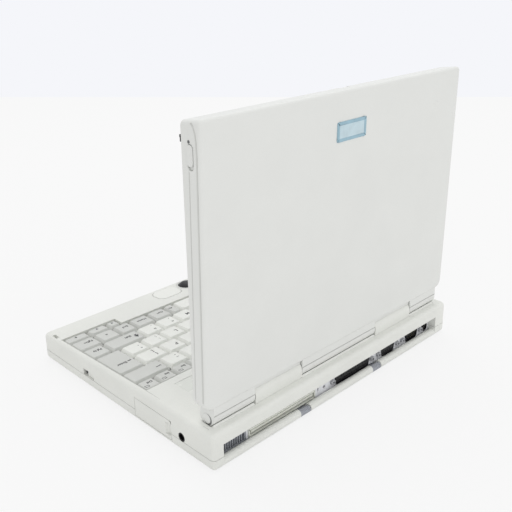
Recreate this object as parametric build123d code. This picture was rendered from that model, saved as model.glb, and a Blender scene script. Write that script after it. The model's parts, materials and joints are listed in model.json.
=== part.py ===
from build123d import *
import math
import os

# Small notebook computer with an upright lid, a low keyboard well and a trackball in the front deck.
# Frame: origin on the desk under the middle of the base, +X to the user's right, +Y to the back, +Z up.
# The lid stands open at a right angle. All sizes are in millimetres.

# Base casing
BASE_W = 261.3
BASE_D = 206.8
SIDE_X = BASE_W / 2
FRONT_Y = -BASE_D / 2
REAR_Y = BASE_D / 2
UNDERSIDE_Z = 1.0
PARTING_Z = 8.8
DECK_FRONT_Z = 22.3
DECK_SLOPE_END = (31.0, 26.8)
DECK_LEVEL_START = (80.0, 27.6)
DECK_REAR_Z = DECK_LEVEL_START[1]
DECK_KINK_R = 350.0
EDGE_R = 3.0
FRONT_CORNER_R = 5.0
REAR_CORNER_R = 3.1
WALL = 2.2
FLOOR_Z = UNDERSIDE_Z + 2.0
SHADOW_GAP = 0.3
SLOPE = math.atan2(DECK_SLOPE_END[1] - DECK_FRONT_Z, DECK_SLOPE_END[0] - FRONT_Y)

# Keyboard well and keys, with depths measured square to the sloping deck
WELL_X = 127.2
WELL_REAR_Y = 30.7
WELL_FRONT_Y = -70.3
ARROW_LEFT_X = 77.3
ARROW_FRONT_Y = -80.9
KEY_TOP_DEPTH = 0.5
KEY_SKIRT_DEPTH = 3.4
KEY_SHELL = 1.0
KEY_GAP = 0.35
KEY_SIDE_DRAFT = 1.5
KEY_FRONT_DRAFT = 1.3
STEM_HALF = 2.0
STEM_END_DEPTH = 7.0
FRAME_TOP_DEPTH = 6.4
FRAME_BOTTOM_DEPTH = 8.4
LEDGE_X = 125.8
LEDGE_THICK = 2.0
INNER_X = 128.3

# Rear connector bay
BAY_LEFT_X = -116.4
BAY_RIGHT_X = 122.0
BAY_ROOF_Z = 18.0
PLATE_Y = 96.4
PLATE_THICK = 1.5
LIP_R = EDGE_R
LIP_Y = REAR_Y - LIP_R
LIP_Z = UNDERSIDE_Z + LIP_R
PORT_Z = 9.7
PORT_PROUD = 1.1
FLANGE_THICK = 0.8
FLANGE_HALF_H = 6.0
SCREW_PROUD = 2.4
SCREW_BORE_R = 1.25
SCREW_HOLE_R = 1.5
SUBD_H = 8.3
SUBD_WIDE = 41.0
SUBD_NARROW = 16.9
FLANGE_WIDE = 53.0
FLANGE_NARROW = 30.8
PARALLEL_X = -14.35
PARALLEL_SCREWS = 47.04
VIDEO_X = -58.8
SERIAL_X = -91.0
SMALL_PORT_SCREWS = 25.0
KEYBOARD_PORT_X = -110.2
KEYBOARD_PORT_Z = 9.6
KEYBOARD_PORT_R = 3.6
DOCK_X0 = 28.0
DOCK_X1 = 94.4
DOCK_Z0 = 5.3
DOCK_Z1 = 11.6
GUIDE_HOLE_X = 17.5
GUIDE_HOLE_Z = 9.2
GUIDE_SLOT_X = 24.5
VENT_X0 = 96.3
VENT_X1 = 119.0
VENT_WALL = 1.2
VENT_Z0 = FLOOR_Z + 0.6
VENT_Z1 = 15.6

# Tilt feet
FOOT_CENTRES = (-37.2, 44.4)
FOOT_NOTCH_W = 10.6
FOOT_LEG_LENGTH = 26.0
FOOT_PIVOT_Y = 100.7
FOOT_PIVOT_Z = 3.6
KNUCKLE_R = 2.5
FOOT_POCKET_TOP = 3.9
FOOT_ROOF = 4.9

# Battery bay, lock recess, power jack and card slot
CAP_Y0 = 20.8
CAP_Y1 = 61.0
CAP_Z0 = 4.3
CAP_Z1 = 18.3
CAP_THICK = 3.3
PACK_X0 = 28.0
PACK_TOP_Z = 16.4
RACK_WALL = 1.6
JACK_Y = 72.0
JACK_Z = 11.8
LOCK_Y0 = -44.8
LOCK_Y1 = -31.1
LOCK_Z0 = 9.3
LOCK_Z1 = 14.3
LOCK_DEPTH = 3.8
CARD_Y0 = -50.0
CARD_Y1 = 6.0
CARD_Z0 = 3.4
CARD_Z1 = 13.2
CARD_LENGTH = 88.0
CARD_SHEET = 0.4
CARD_WALL = 0.8
CARD_MOUTH_Z0 = 4.0
CARD_MOUTH_Z1 = 13.0

# Trackball and its buttons
BALL_X = -8.0
BALL_Y = -91.0
BALL_R = 9.0
BALL_DEPTH = 5.6
BALL_GAP = 0.3
RING_R = 9.6
CUP_R = 10.1
ROLLER_R = 1.5
ROLLER_SHAFT_R = 0.8
ROLLER_DISC_R = 2.2
PILL_INNER = 11.0
PILL_OUTER = 36.0
PILL_Y0 = -98.0
PILL_Y1 = -80.5
PILL_R = 6.5
PILL_PROUD = 0.3
TRACK_BOARD_Z = 5.4
BOARD_THICK = 1.6
BUTTON_X = (PILL_INNER + PILL_OUTER) / 2
BUTTON_Y = (PILL_Y0 + PILL_Y1) / 2
SWITCH_TALL = 4.3

# Lid, with its inner face upright
LID_W = 260.6
LID_X = LID_W / 2
LID_FACE_Y = 85.6
LID_BOTTOM_Z = 40.7
LID_TOP_FRONT_Z = 222.6
LID_TOP_BACK_Z = 224.6
LID_BACK_Y = 97.8
LID_BACK_REF_Z = 55.0
LID_BACK_LEAN = 0.0241
SEAM_REF = (88.2, 48.0)
SEAM_LEAN = 0.02585
LID_WALL = 2.0
LID_BACK_R = 2.0
LID_FACE_R = 0.8
LID_BOTTOM_CORNER_R = 7.0
LID_TOP_CORNER_R = 3.0
WINDOW_W = 193.0
WINDOW_Z0 = 53.0
WINDOW_H = 145.0
BALL_POCKET_R = 9.8
BALL_POCKET_DEPTH = 3.4
BADGE_X = -0.6
BADGE_Z = 197.6
BADGE_W = 30.0
BADGE_H = 13.4
DIMPLE_X = -100.0
DIMPLE_Z = 199.0

# Lid hinge
HINGE_Y = 90.0
HINGE_Z = 33.2
BARREL_R = 6.7
TROUGH_R = 7.3
HUMP_R = 6.8
HUMP_X0 = 42.0
HUMP_X1 = 87.0
BARREL_GAP = 0.5
BARREL_END_X = 123.5
PIN_R = 2.0
SLEEVE_BORE_R = 2.05
SLEEVE_R = 4.2
SLEEVE_L = 6.5
BRACKET_SEAT_Z = 23.4
STRAP_Y = 92.6
STRAP_BACK_Y = STRAP_Y + 1.6

# Rear deck: power button, speaker slots and status display
POWER_X = -100.0
POWER_Y = 44.0
POWER_R = 5.0
SPEAKER_X = -62.0
SPEAKER_Y = 56.0
SPEAKER_SLOTS = 9
SPEAKER_PITCH = 2.6
STATUS_X0 = 62.0
STATUS_X1 = 108.5
STATUS_Y0 = 38.0
STATUS_Y1 = 53.0
STATUS_FLOOR_Z = DECK_SLOPE_END[1] - 1.2

# Processor outline on the main board, as two ranges of X and Y, and its cooling plate
CHIP_SPAN = (-70, -38, 22, 54)
SPREADER_FINS = 7

# Case screws and standing pads
SCREW_PLACES = [(x, y) for x in (-90, 0, 90) for y in (-95, 74)]
SCREW_HEAD_Z = UNDERSIDE_Z + 1.6
SCREW_TOP_Z = 4.8
PAD_PLACES = [(x, y) for x in (-108, 108) for y in (-86, 66)]
PAD_R = 6.0

# Lid latches
LATCH_Y0 = 91.2
LATCH_Y1 = 95.8
LATCH_Z0 = 197.6
LATCH_Z1 = 210.0
LATCH_TRAVEL = 2.2
LATCH_PROUD = 0.8
HOOK_X = 127.0
HOOK_Z0 = 209.6
HOOK_Z1 = 213.0
HOOK_TIP_Y = 82.7
SLOT_Y0 = -92.6
SLOT_Y1 = -85.9
SLOT_DEPTH = 4.5
SLOT_HALF = 1.35


def block(x0, x1, y0, y1, z0, z1):
    """Box between two opposite corners."""
    return Pos((x0 + x1) / 2, (y0 + y1) / 2, (z0 + z1) / 2) * Box(x1 - x0, y1 - y0, z1 - z0)


def rod_x(x0, x1, y, z, radius):
    """Round bar along X."""
    return Pos((x0 + x1) / 2, y, z) * Rot(0, 90, 0) * Cylinder(radius, x1 - x0)


def rod_y(x, y0, y1, z, radius):
    """Round bar along Y."""
    return Pos(x, (y0 + y1) / 2, z) * Rot(90, 0, 0) * Cylinder(radius, y1 - y0)


def rod_z(x, y, z0, z1, radius):
    """Round bar along Z."""
    return Pos(x, y, (z0 + z1) / 2) * Cylinder(radius, z1 - z0)


def side_prism(points, x0, x1):
    """Solid between two planes of constant X, with its outline given as (y, z) points."""
    outline = Plane.YZ.offset(x0) * make_face(Polyline(*points, close=True))
    return extrude(outline, x1 - x0)


def solids(parts):
    """Separate solids kept together as one piece."""
    return Compound(children=[solid for part in parts for solid in part.solids()])


def deck_z(y):
    """Height of the sloping deck plane at a given Y."""
    return DECK_FRONT_Z + (y - FRONT_Y) * math.tan(SLOPE)


def on_deck(part):
    """Move a part modelled at the frame's origin onto the deck plane."""
    return Pos(0, 0, deck_z(0)) * Rot(math.degrees(SLOPE), 0, 0) * part


def edges_where(part, test):
    """Edges whose middle point passes a test."""
    return [edge for edge in part.edges() if test(edge.center())]


def lid_back_y(z):
    """Y of the lid's leaning back face."""
    return LID_BACK_Y + (z - LID_BACK_REF_Z) * LID_BACK_LEAN


def seam_y(z):
    """Y of the seam between the lid's bezel and its back shell."""
    return SEAM_REF[0] + (z - SEAM_REF[1]) * SEAM_LEAN


# Base casing

def base_block():
    """Closed outer form of the base, with a wedge side view and rounded edges."""
    corners = [
        (FRONT_Y, UNDERSIDE_Z),
        (FRONT_Y, DECK_FRONT_Z),
        DECK_SLOPE_END,
        DECK_LEVEL_START,
        (REAR_Y, DECK_REAR_Z),
        (REAR_Y, UNDERSIDE_Z),
    ]
    radii = [0, 0, DECK_KINK_R, DECK_KINK_R, 0, 0]
    outline = make_face(FilletPolyline(*corners, radius=radii, close=True))
    body = extrude(Plane.YZ * outline, SIDE_X, both=True)
    upright = body.edges().filter_by(Axis.Z)
    body = fillet([edge for edge in upright if edge.center().Y < 0], FRONT_CORNER_R)
    upright = body.edges().filter_by(Axis.Z)
    body = fillet([edge for edge in upright if edge.center().Y > REAR_Y - 0.1], REAR_CORNER_R)
    rim = body.faces().sort_by(Axis.Z)[0].edges()
    body = fillet(rim, EDGE_R)
    top = [face for face in body.faces() if face.normal_at().Z > 0.9 and face.center().Z > DECK_FRONT_Z]
    top_edges = [edge for face in top for edge in face.edges()]
    shared = [edge for edge in top_edges if not is_deck_kink(edge)]
    return fillet(shared, EDGE_R)


def is_deck_kink(edge):
    """True for the cross lines where the deck changes slope."""
    ends = [vertex.center() for vertex in edge.vertices()]
    middle = edge.center().Y
    runs_across = abs(ends[0].Y - ends[1].Y) < 0.01
    return runs_across and FRONT_Y + 1 < middle < REAR_Y - 1


def deck_prism(depth_top, depth_bottom, x_half, y0, y1):
    """Slab under the sloping deck, between two depths measured square to it."""
    return on_deck(block(-x_half, x_half, y0, y1, -depth_bottom, -depth_top))


def well_outline(margin, depth_top, depth_bottom):
    """Keyboard well, stepped forward at the arrow keys, grown by a margin."""
    main = block(-WELL_X - margin, WELL_X + margin, WELL_FRONT_Y - margin, WELL_REAR_Y + margin,
                 -depth_bottom, -depth_top)
    arrows = block(ARROW_LEFT_X - margin, WELL_X + margin, ARROW_FRONT_Y - margin, WELL_FRONT_Y,
                   -depth_bottom, -depth_top)
    return on_deck(main + arrows)


def connector_bay():
    """Recess along the rear, above its rounded lower lip."""
    lip = rod_x(BAY_LEFT_X, BAY_RIGHT_X, LIP_Y, LIP_Z, LIP_R)
    foot = block(BAY_LEFT_X, BAY_RIGHT_X, LIP_Y - LIP_R, REAR_Y, UNDERSIDE_Z, LIP_Z)
    recess = block(BAY_LEFT_X, BAY_RIGHT_X, PLATE_Y, REAR_Y + 1, FLOOR_Z, BAY_ROOF_Z)
    return recess - lip - foot


def battery_opening():
    """Hole in the right side wall for the battery's end cap."""
    return block(SIDE_X - 5.5, SIDE_X + 1, CAP_Y0 - 0.3, CAP_Y1 + 0.3, CAP_Z0 - 0.3, CAP_Z1 + 0.3)


def lock_recess():
    """Finger and lock recess in the right side."""
    return block(SIDE_X - LOCK_DEPTH, SIDE_X + 1, LOCK_Y0, LOCK_Y1, LOCK_Z0, LOCK_Z1)


def card_mouth():
    """Card slot through the left side wall."""
    y0 = CARD_Y0 + CARD_WALL
    y1 = CARD_Y1 - CARD_WALL
    return block(-SIDE_X - 1, -INNER_X + 3, y0, y1, CARD_MOUTH_Z0, CARD_MOUTH_Z1)


def jack_hole():
    """Round hole in the right side for the power jack."""
    return rod_x(SIDE_X - 6, SIDE_X + 1, JACK_Y, JACK_Z, 3.3)


def side_cuts():
    """Everything cut through the two side walls."""
    return battery_opening() + lock_recess() + card_mouth() + jack_hole() + eject_hole()


def eject_hole():
    """Hole in the left side for the card eject button."""
    return block(-SIDE_X - 1, -INNER_X + 3, CARD_Y1 + 2.0, CARD_Y1 + 9.0, 6.8, 11.2)


def foot_notches():
    """Two pockets under the rear edge that hold the folded tilt feet, open through the lip."""
    cuts = []
    for centre in FOOT_CENTRES:
        left = centre - FOOT_NOTCH_W / 2
        right = centre + FOOT_NOTCH_W / 2
        cuts.append(block(left, right, LIP_Y - FOOT_LEG_LENGTH, REAR_Y + 1, 0, FOOT_POCKET_TOP))
        cuts.append(block(left, right, PLATE_Y, REAR_Y + 1, 0, PARTING_Z))
        cuts.append(rod_x(left - 2.6, right + 2.6, FOOT_PIVOT_Y, FOOT_PIVOT_Z, 1.25))
    return cuts


def lower_shell():
    """Tray with the rear lip, pockets for the tilt feet and a locating rib inside the seam."""
    shell = base_block() & block(-SIDE_X - 1, SIDE_X + 1, FRONT_Y - 1, REAR_Y + 1, 0, PARTING_Z)
    hollow_top = PARTING_Z + 1
    shell -= block(-INNER_X, INNER_X, FRONT_Y + WALL, PLATE_Y - PLATE_THICK, FLOOR_Z, hollow_top)
    left = BAY_LEFT_X - 0.2
    right = BAY_RIGHT_X + 0.2
    shell -= block(left, right, PLATE_Y - PLATE_THICK - 1, PLATE_Y + 0.01, FLOOR_Z, hollow_top)
    shell -= connector_bay()
    for seat in screw_seats():
        shell -= seat
    for centre in FOOT_CENTRES:
        half = FOOT_NOTCH_W / 2 + 1.6
        front = LIP_Y - FOOT_LEG_LENGTH - 1.6
        rear = PLATE_Y - PLATE_THICK - 0.9
        shell += block(centre - half, centre + half, front, rear, FLOOR_Z - 0.2, FOOT_ROOF)
    for cut in foot_notches():
        shell -= cut
    return shell + battery_rack() - side_cuts()


def upper_shell():
    """Deck, side walls and rear roof, with the keyboard well and the hinge troughs and humps."""
    shell = base_block()
    shell &= block(-SIDE_X - 1, SIDE_X + 1, FRONT_Y - 1, REAR_Y + 1, PARTING_Z + SHADOW_GAP, 40)
    ledge_under = FRAME_BOTTOM_DEPTH + LEDGE_THICK
    inner_front = FRONT_Y + WALL - 0.6
    shell -= deck_prism(ledge_under, 40, INNER_X, inner_front, DECK_SLOPE_END[0] + 2)
    shell -= deck_prism(FRAME_BOTTOM_DEPTH, ledge_under + 1, LEDGE_X, inner_front, DECK_SLOPE_END[0] + 2)
    shell -= well_outline(0, -5, FRAME_BOTTOM_DEPTH + 0.01)
    for x0, x1, y1 in front_hollows():
        shell -= on_deck(block(x0, x1, inner_front + 0.3, y1, -FRAME_BOTTOM_DEPTH - 1, -WALL))
    shell -= block(-INNER_X, INNER_X, DECK_SLOPE_END[0] + 1, 81.0, 0, DECK_SLOPE_END[1] - WALL)
    shell -= block(-INNER_X, INNER_X, 80.0, PLATE_Y, 0, BRACKET_SEAT_Z)
    shell -= block(-INNER_X, INNER_X, 80.0, REAR_Y - WALL, BAY_ROOF_Z + WALL, BRACKET_SEAT_Z)
    shell -= connector_bay()
    shell += block(INNER_X - 2.8, INNER_X + 0.1, LOCK_Y0 - 1.6, LOCK_Y1 + 1.6, PARTING_Z + SHADOW_GAP,
                   LOCK_Z1 + 1.4)
    for x0, x1 in lid_barrels():
        shell -= rod_x(x0 - BARREL_GAP - 0.3, x1 + BARREL_GAP + 0.3, HINGE_Y, HINGE_Z, TROUGH_R)
    for sign in (-1, 1):
        shell += hinge_hump(sign)
        shell -= hump_hollow(sign)
        shell -= hook_slot(sign)
        shell -= on_deck(pill(sign, 0.35, -12, 2))
    shell -= on_deck(Pos(BALL_X, BALL_Y, -5) * Cylinder(RING_R + 0.02, 14))
    shell -= rod_z(POWER_X, POWER_Y, 20, 30, POWER_R + 0.35)
    for step in range(SPEAKER_SLOTS):
        x = SPEAKER_X + (step - (SPEAKER_SLOTS - 1) / 2) * SPEAKER_PITCH
        shell -= block(x - 0.6, x + 0.6, SPEAKER_Y - 9, SPEAKER_Y + 9, 20, 30)
    shell -= block(STATUS_X0, STATUS_X1, STATUS_Y0, STATUS_Y1, STATUS_FLOOR_Z, 30)
    return shell - side_cuts()


def hook_slot(sign):
    """Slot in the front deck for one latch hook."""
    x = sign * HOOK_X
    z = deck_z(SLOT_Y0)
    return block(x - SLOT_HALF, x + SLOT_HALF, SLOT_Y0, SLOT_Y1, z - SLOT_DEPTH, z + 3)


def front_hollows():
    """Hollows under the front deck as (x0, x1, rear y), left of the arrow keys and before them."""
    side = LEDGE_X - 1.8
    return [(-side, ARROW_LEFT_X - 2, WELL_FRONT_Y - 2), (ARROW_LEFT_X - 3, side, ARROW_FRONT_Y - 2)]


def hinge_hump(sign):
    """Fixed half-round housing that carries the hinge pin above the deck."""
    x0, x1 = hump_span(sign)
    upper = rod_x(x0, x1, HINGE_Y, HINGE_Z, HUMP_R)
    lower = block(x0, x1, HINGE_Y - HUMP_R, HINGE_Y + HUMP_R, DECK_REAR_Z - 1.5, HINGE_Z)
    return upper + lower


def hump_hollow(sign):
    """Space inside a hump for the bracket, and the pin's way out at both ends."""
    x0, x1 = hump_span(sign)
    room = rod_x(x0 + 1.8, x1 - 1.8, HINGE_Y, HINGE_Z, HUMP_R - 1.6)
    room += block(x0 + 1.8, x1 - 1.8, HINGE_Y - HUMP_R + 1.6, HINGE_Y + HUMP_R - 1.6, 22, HINGE_Z)
    return room + rod_x(x0 - 1, x1 + 1, HINGE_Y, HINGE_Z, PIN_R)


def hump_span(sign):
    """X range of one fixed hump."""
    ends = sorted((sign * HUMP_X0, sign * HUMP_X1))
    return ends[0], ends[1]


def lid_barrels():
    """X ranges of the three barrels that turn with the lid."""
    inner = HUMP_X0 - BARREL_GAP
    outer = HUMP_X1 + BARREL_GAP
    return [(-BARREL_END_X, -outer), (-inner, inner), (outer, BARREL_END_X)]


def rubber_feet():
    """Four round pads that the base stands on."""
    return solids([rod_z(x, y, 0, UNDERSIDE_Z, PAD_R) for x, y in PAD_PLACES])


def case_screws():
    """Countersunk screw heads set into the underside."""
    heads = []
    for x, y in SCREW_PLACES:
        head = rod_z(x, y, UNDERSIDE_Z + 0.3, SCREW_HEAD_Z, 2.6)
        shank = rod_z(x, y, SCREW_HEAD_Z, SCREW_TOP_Z, 1.3)
        slot = block(x - 2, x + 2, y - 0.3, y + 0.3, 0, UNDERSIDE_Z + 0.8)
        heads.append(head + shank - slot)
    return solids(heads)


def screw_seats():
    """Holes and counterbores for the case screws."""
    seats = []
    for x, y in SCREW_PLACES:
        seats.append(rod_z(x, y, 0, SCREW_HEAD_Z, 2.8) + rod_z(x, y, UNDERSIDE_Z + 1, FLOOR_Z + 1, 1.4))
    return seats


# Keyboard

def key_rows():
    """Key outlines of each row as (x0, x1, y0, y1), from the rear row to the front one."""
    letter = 18.1
    rear_pitch = 2 * WELL_X / 17
    y = [WELL_REAR_Y, 16.5]
    for _ in range(5):
        y.append(y[-1] - (16.5 - WELL_FRONT_Y) / 5)
    enter_x = 104.0
    rows = {}
    edges = [-WELL_X + i * rear_pitch for i in range(18)]
    rows["function"] = span_keys(edges, y[1], y[0])
    edges = [-WELL_X] + [94.0 - i * letter for i in range(11, -1, -1)] + [WELL_X]
    rows["number"] = span_keys(edges, y[2], y[1])
    edges = [-WELL_X] + [99.4 - i * letter for i in range(11, 0, -1)] + [enter_x]
    rows["upper"] = span_keys(edges, y[3], y[2])
    edges = [-WELL_X] + [enter_x - i * letter for i in range(11, -1, -1)]
    rows["home"] = span_keys(edges, y[4], y[3])
    rows["enter"] = span_keys([enter_x, WELL_X], y[4], y[2])
    edges = [-WELL_X] + [77.0 - i * letter for i in range(9, -1, -1)] + [109.0, WELL_X]
    rows["lower"] = span_keys(edges, y[5], y[4])
    left = [-WELL_X, -109.0, -91.0, -73.0, -55.0]
    right = [26.7, 36.9, 54.4, 72.5, 88.0]
    rows["bottom"] = span_keys(left, y[6], y[5]) + span_keys(right, y[6], y[5])
    rows["bottom"] += span_keys([106.0, WELL_X], y[6], y[5])
    rows["space"] = span_keys([left[-1], right[0]], y[6], y[5])
    rows["arrow_up"] = span_keys([88.0, 106.0], y[6], y[5])
    rows["arrow_left"] = span_keys([ARROW_LEFT_X, 88.0], ARROW_FRONT_Y, y[6])
    rows["arrow_down"] = span_keys([88.0, 106.0], ARROW_FRONT_Y, y[6])
    rows["arrow_right"] = span_keys([106.0, WELL_X], ARROW_FRONT_Y, y[6])
    return rows


def span_keys(edges, y0, y1):
    """Keys side by side between a row's dividing lines."""
    return [(x0, x1, y0, y1) for x0, x1 in zip(edges[:-1], edges[1:])]


def key_tier(key, inset_x, inset_y, depth):
    """Rectangular section of a key at a given depth, stepped in from its outline."""
    x0, x1, y0, y1 = key
    centre = Pos((x0 + x1) / 2, (y0 + y1) / 2, -depth)
    return centre * Rectangle(x1 - x0 - 2 * inset_x, y1 - y0 - 2 * inset_y)


def key_cap(x0, x1, y0, y1):
    """Hollow key cap with drafted sides and a guide stem."""
    key = (x0, x1, y0, y1)
    side = KEY_GAP + KEY_SIDE_DRAFT
    front = KEY_GAP + KEY_FRONT_DRAFT
    foot = key_tier(key, KEY_GAP, KEY_GAP, KEY_SKIRT_DEPTH)
    crown = key_tier(key, side, front, KEY_TOP_DEPTH)
    wall = KEY_GAP + KEY_SHELL
    inner_foot = key_tier(key, wall, wall, KEY_SKIRT_DEPTH)
    wall_x = wall + KEY_SIDE_DRAFT * 0.7
    wall_y = wall + KEY_FRONT_DRAFT * 0.7
    ceiling = key_tier(key, wall_x, wall_y, KEY_TOP_DEPTH + KEY_SHELL)
    cap = loft([foot, crown]) - loft([inner_foot, ceiling])
    for x, y in stem_places(x0, x1, y0, y1):
        cap += block(x - STEM_HALF, x + STEM_HALF, y - STEM_HALF, y + STEM_HALF, -STEM_END_DEPTH,
                     -KEY_TOP_DEPTH - KEY_SHELL / 2)
    return on_deck(cap)


def stem_places(x0, x1, y0, y1):
    """Stem centres of one key: one in the middle, or a pair on a long key."""
    middle_x = (x0 + x1) / 2
    middle_y = (y0 + y1) / 2
    if x1 - x0 > 60:
        return [(middle_x + offset, middle_y) for offset in (-25, 25)]
    return [(middle_x, middle_y)]


def keyboard_frame():
    """Moulded keyboard plate with one guide hole under each stem."""
    plate = well_outline(-0.3, FRAME_TOP_DEPTH, FRAME_BOTTOM_DEPTH)
    holes = []
    half = STEM_HALF + 0.35
    for keys in key_rows().values():
        for key in keys:
            for x, y in stem_places(*key):
                holes.append(on_deck(block(x - half, x + half, y - half, y + half, -10, -5)))
    return plate - holes


# Trackball, its buttons and sensing rollers

def pill(sign, gap, z0, z1):
    """Trackball button outline to the left or right of the ball, grown by a gap."""
    x0, x1 = sorted((BALL_X + sign * PILL_INNER, BALL_X + sign * PILL_OUTER))
    outline = RectangleRounded(x1 - x0 + 2 * gap, PILL_Y1 - PILL_Y0 + 2 * gap, PILL_R + gap)
    place = Pos((x0 + x1) / 2, (PILL_Y0 + PILL_Y1) / 2, z0)
    return place * extrude(outline, z1 - z0)


def mouse_button(sign):
    """Button cap flush with the deck, on one leg above its switch."""
    cap = pill(sign, 0, -2.6, PILL_PROUD)
    rim = [edge for edge in cap.edges() if edge.center().Z > PILL_PROUD - 0.01]
    cap = on_deck(fillet(rim, 0.4))
    leg_z = TRACK_BOARD_Z + BOARD_THICK + SWITCH_TALL + 1.2
    return cap + rod_z(BALL_X + sign * BUTTON_X, BUTTON_Y, leg_z, deck_z(BUTTON_Y) - 2.0, 2.0)


def ball_centre():
    """Middle of the trackball."""
    return BALL_X, BALL_Y, deck_z(BALL_Y) - BALL_DEPTH


def trackball():
    """The ball itself."""
    return Pos(*ball_centre()) * Sphere(BALL_R)


def trackball_ring():
    """Removable retaining ring, flush with the deck and spherical inside."""
    ring = on_deck(Pos(BALL_X, BALL_Y, -WALL / 2) * Cylinder(RING_R, WALL))
    return ring - Pos(*ball_centre()) * Sphere(BALL_R + BALL_GAP)


def trackball_cup():
    """Socket under the ball, with windows and bearings for the two rollers."""
    x, y, z = ball_centre()
    cup = rod_z(x, y, TRACK_BOARD_Z + BOARD_THICK, z + 2.2, CUP_R)
    reach = BALL_R + BALL_GAP + ROLLER_R
    for angle in (0, 90):
        for side in (-1, 1):
            ear = block(side * 5.8 - 0.8, side * 5.8 + 0.8, 7.5, reach + 1.6, -3.0, 2.0)
            cup += Pos(x, y, z) * Rot(0, 0, angle) * ear
        window = block(-4.6, 4.6, 6.0, reach + 4, -2.2, 3.0)
        cup -= Pos(x, y, z) * Rot(0, 0, angle) * window
        bearing = rod_x(-8, 8, reach, 0, ROLLER_SHAFT_R + 0.05)
        cup -= Pos(x, y, z) * Rot(0, 0, angle) * bearing
    return cup - Pos(x, y, z) * Sphere(BALL_R + BALL_GAP)


def roller(angle):
    """Sensing roller with its shaft and encoder disc, beside the ball's equator."""
    reach = BALL_R + BALL_GAP + ROLLER_R
    shaft = rod_x(-4.2, 4.2, reach, 0, ROLLER_R) + rod_x(-7.2, 9.0, reach, 0, ROLLER_SHAFT_R)
    disc = rod_x(7.6, 8.4, reach, 0, ROLLER_DISC_R)
    return Pos(*ball_centre()) * Rot(0, 0, angle) * (shaft + disc)


def trackball_board():
    """Small circuit board that carries the socket and the two button switches."""
    top = TRACK_BOARD_Z + BOARD_THICK
    board = block(BALL_X - 40, BALL_X + 40, -100.6, -78.5, TRACK_BOARD_Z, top)
    for sign in (-1, 1):
        x = BALL_X + sign * BUTTON_X
        board += block(x - 3, x + 3, BUTTON_Y - 3, BUTTON_Y + 3, top, top + SWITCH_TALL)
    for x in (BALL_X - 37, BALL_X + 37):
        board += rod_z(x, -96, FLOOR_Z, TRACK_BOARD_Z, 2.0)
    return board


# Inside the base

def main_board():
    """Main circuit board with its chips, memory module and board standoffs."""
    z0 = FLOOR_Z + 2.0
    z1 = z0 + BOARD_THICK
    main_part = block(-120, 20, 9, 74, z0, z1)
    rear_strip = block(-120, 122, 63.4, 88, z0, z1)
    processor = block(*CHIP_SPAN, z1, z1 + 3.2)
    graphics_chip = block(-24, 4, 18, 40, z1, z1 + 2.4)
    io_chip = block(-108, -84, 14, 36, z1, z1 + 2.4)
    memory_module = block(-20, 18, 48, 66, z1, z1 + 3.8)
    power_switch = block(POWER_X - 3.5, POWER_X + 3.5, POWER_Y - 3.5, POWER_Y + 3.5, z1, 12.0)
    board = main_part + rear_strip + processor + graphics_chip + io_chip + memory_module + power_switch
    for x, y in ((-115, 14), (-115, 60), (14, 14), (114, 84)):
        board += rod_z(x, y, FLOOR_Z, z0, 2.4)
    return board


def heat_spreader():
    """Plate that carries the processor's heat to the rear."""
    z0 = 10.0
    z1 = z0 + 1.2
    plate = block(-76, -32, 16, 60, z0, z1)
    for step in range(SPREADER_FINS):
        x = -74 + step * 6.6
        plate += block(x, x + 1.2, 18, 58, z1, z1 + 3.2)
    return plate + block(*CHIP_SPAN, FLOOR_Z + 6.8, z0)


def hard_disk():
    """Small fixed disk, with its lid pressing and connector edge."""
    z0 = FLOOR_Z + 0.3
    z1 = FLOOR_Z + 9.8
    case = block(20, 120, -66, 4, z0, z1)
    case = fillet(case.edges().filter_by(Axis.Z), 2.0)
    case += block(28, 112, -60, -2, z1, z1 + 0.4)
    for x in (30, 110):
        for y in (-62, 0):
            case += rod_z(x, y, FLOOR_Z, z0, 3.0)
    return case


def card_cage():
    """Sheet metal cage of the card slot, open at its left end."""
    inner_end = -INNER_X + CARD_LENGTH
    bottom = CARD_Z0 - CARD_SHEET
    top = CARD_Z1 + CARD_SHEET
    outer = block(-INNER_X + 0.2, inner_end, CARD_Y0, CARD_Y1, bottom, top)
    y0 = CARD_Y0 + CARD_WALL
    y1 = CARD_Y1 - CARD_WALL
    return outer - block(-INNER_X, inner_end - 4, y0, y1, CARD_Z0, CARD_Z1)


def card_door():
    """Sprung dust flap of the card slot, hung from its top edge."""
    x0 = -SIDE_X + 0.4
    y0 = CARD_Y0 + CARD_WALL + 0.35
    y1 = CARD_Y1 - CARD_WALL - 0.35
    flap = block(x0, x0 + 1.2, y0, y1, CARD_MOUTH_Z0 + 0.4, CARD_MOUTH_Z1 - 0.4)
    top = [edge for edge in flap.edges().filter_by(Axis.Y) if edge.center().Z > CARD_MOUTH_Z1 - 1]
    return fillet(top, 0.55)


def eject_button():
    """Push button that slides the card out."""
    y0 = CARD_Y1 + 2.4
    button = block(-LID_X - LATCH_PROUD, -INNER_X + 12, y0, y0 + 6.2, 7.2, 10.8)
    return fillet(button.faces().sort_by(Axis.X)[0].edges(), 0.3)


def battery_pack():
    """Battery cells in their own flat case, keyed at the inner end."""
    case = block(PACK_X0, SIDE_X - CAP_THICK, CAP_Y0 + 0.7, CAP_Y1 - 0.7, CAP_Z0 + 0.3, PACK_TOP_Z)
    case = fillet(case.edges().filter_by(Axis.X), 1.5)
    return case - block(PACK_X0 - 1, PACK_X0 + 4, 30, 52, 8, 13)


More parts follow.
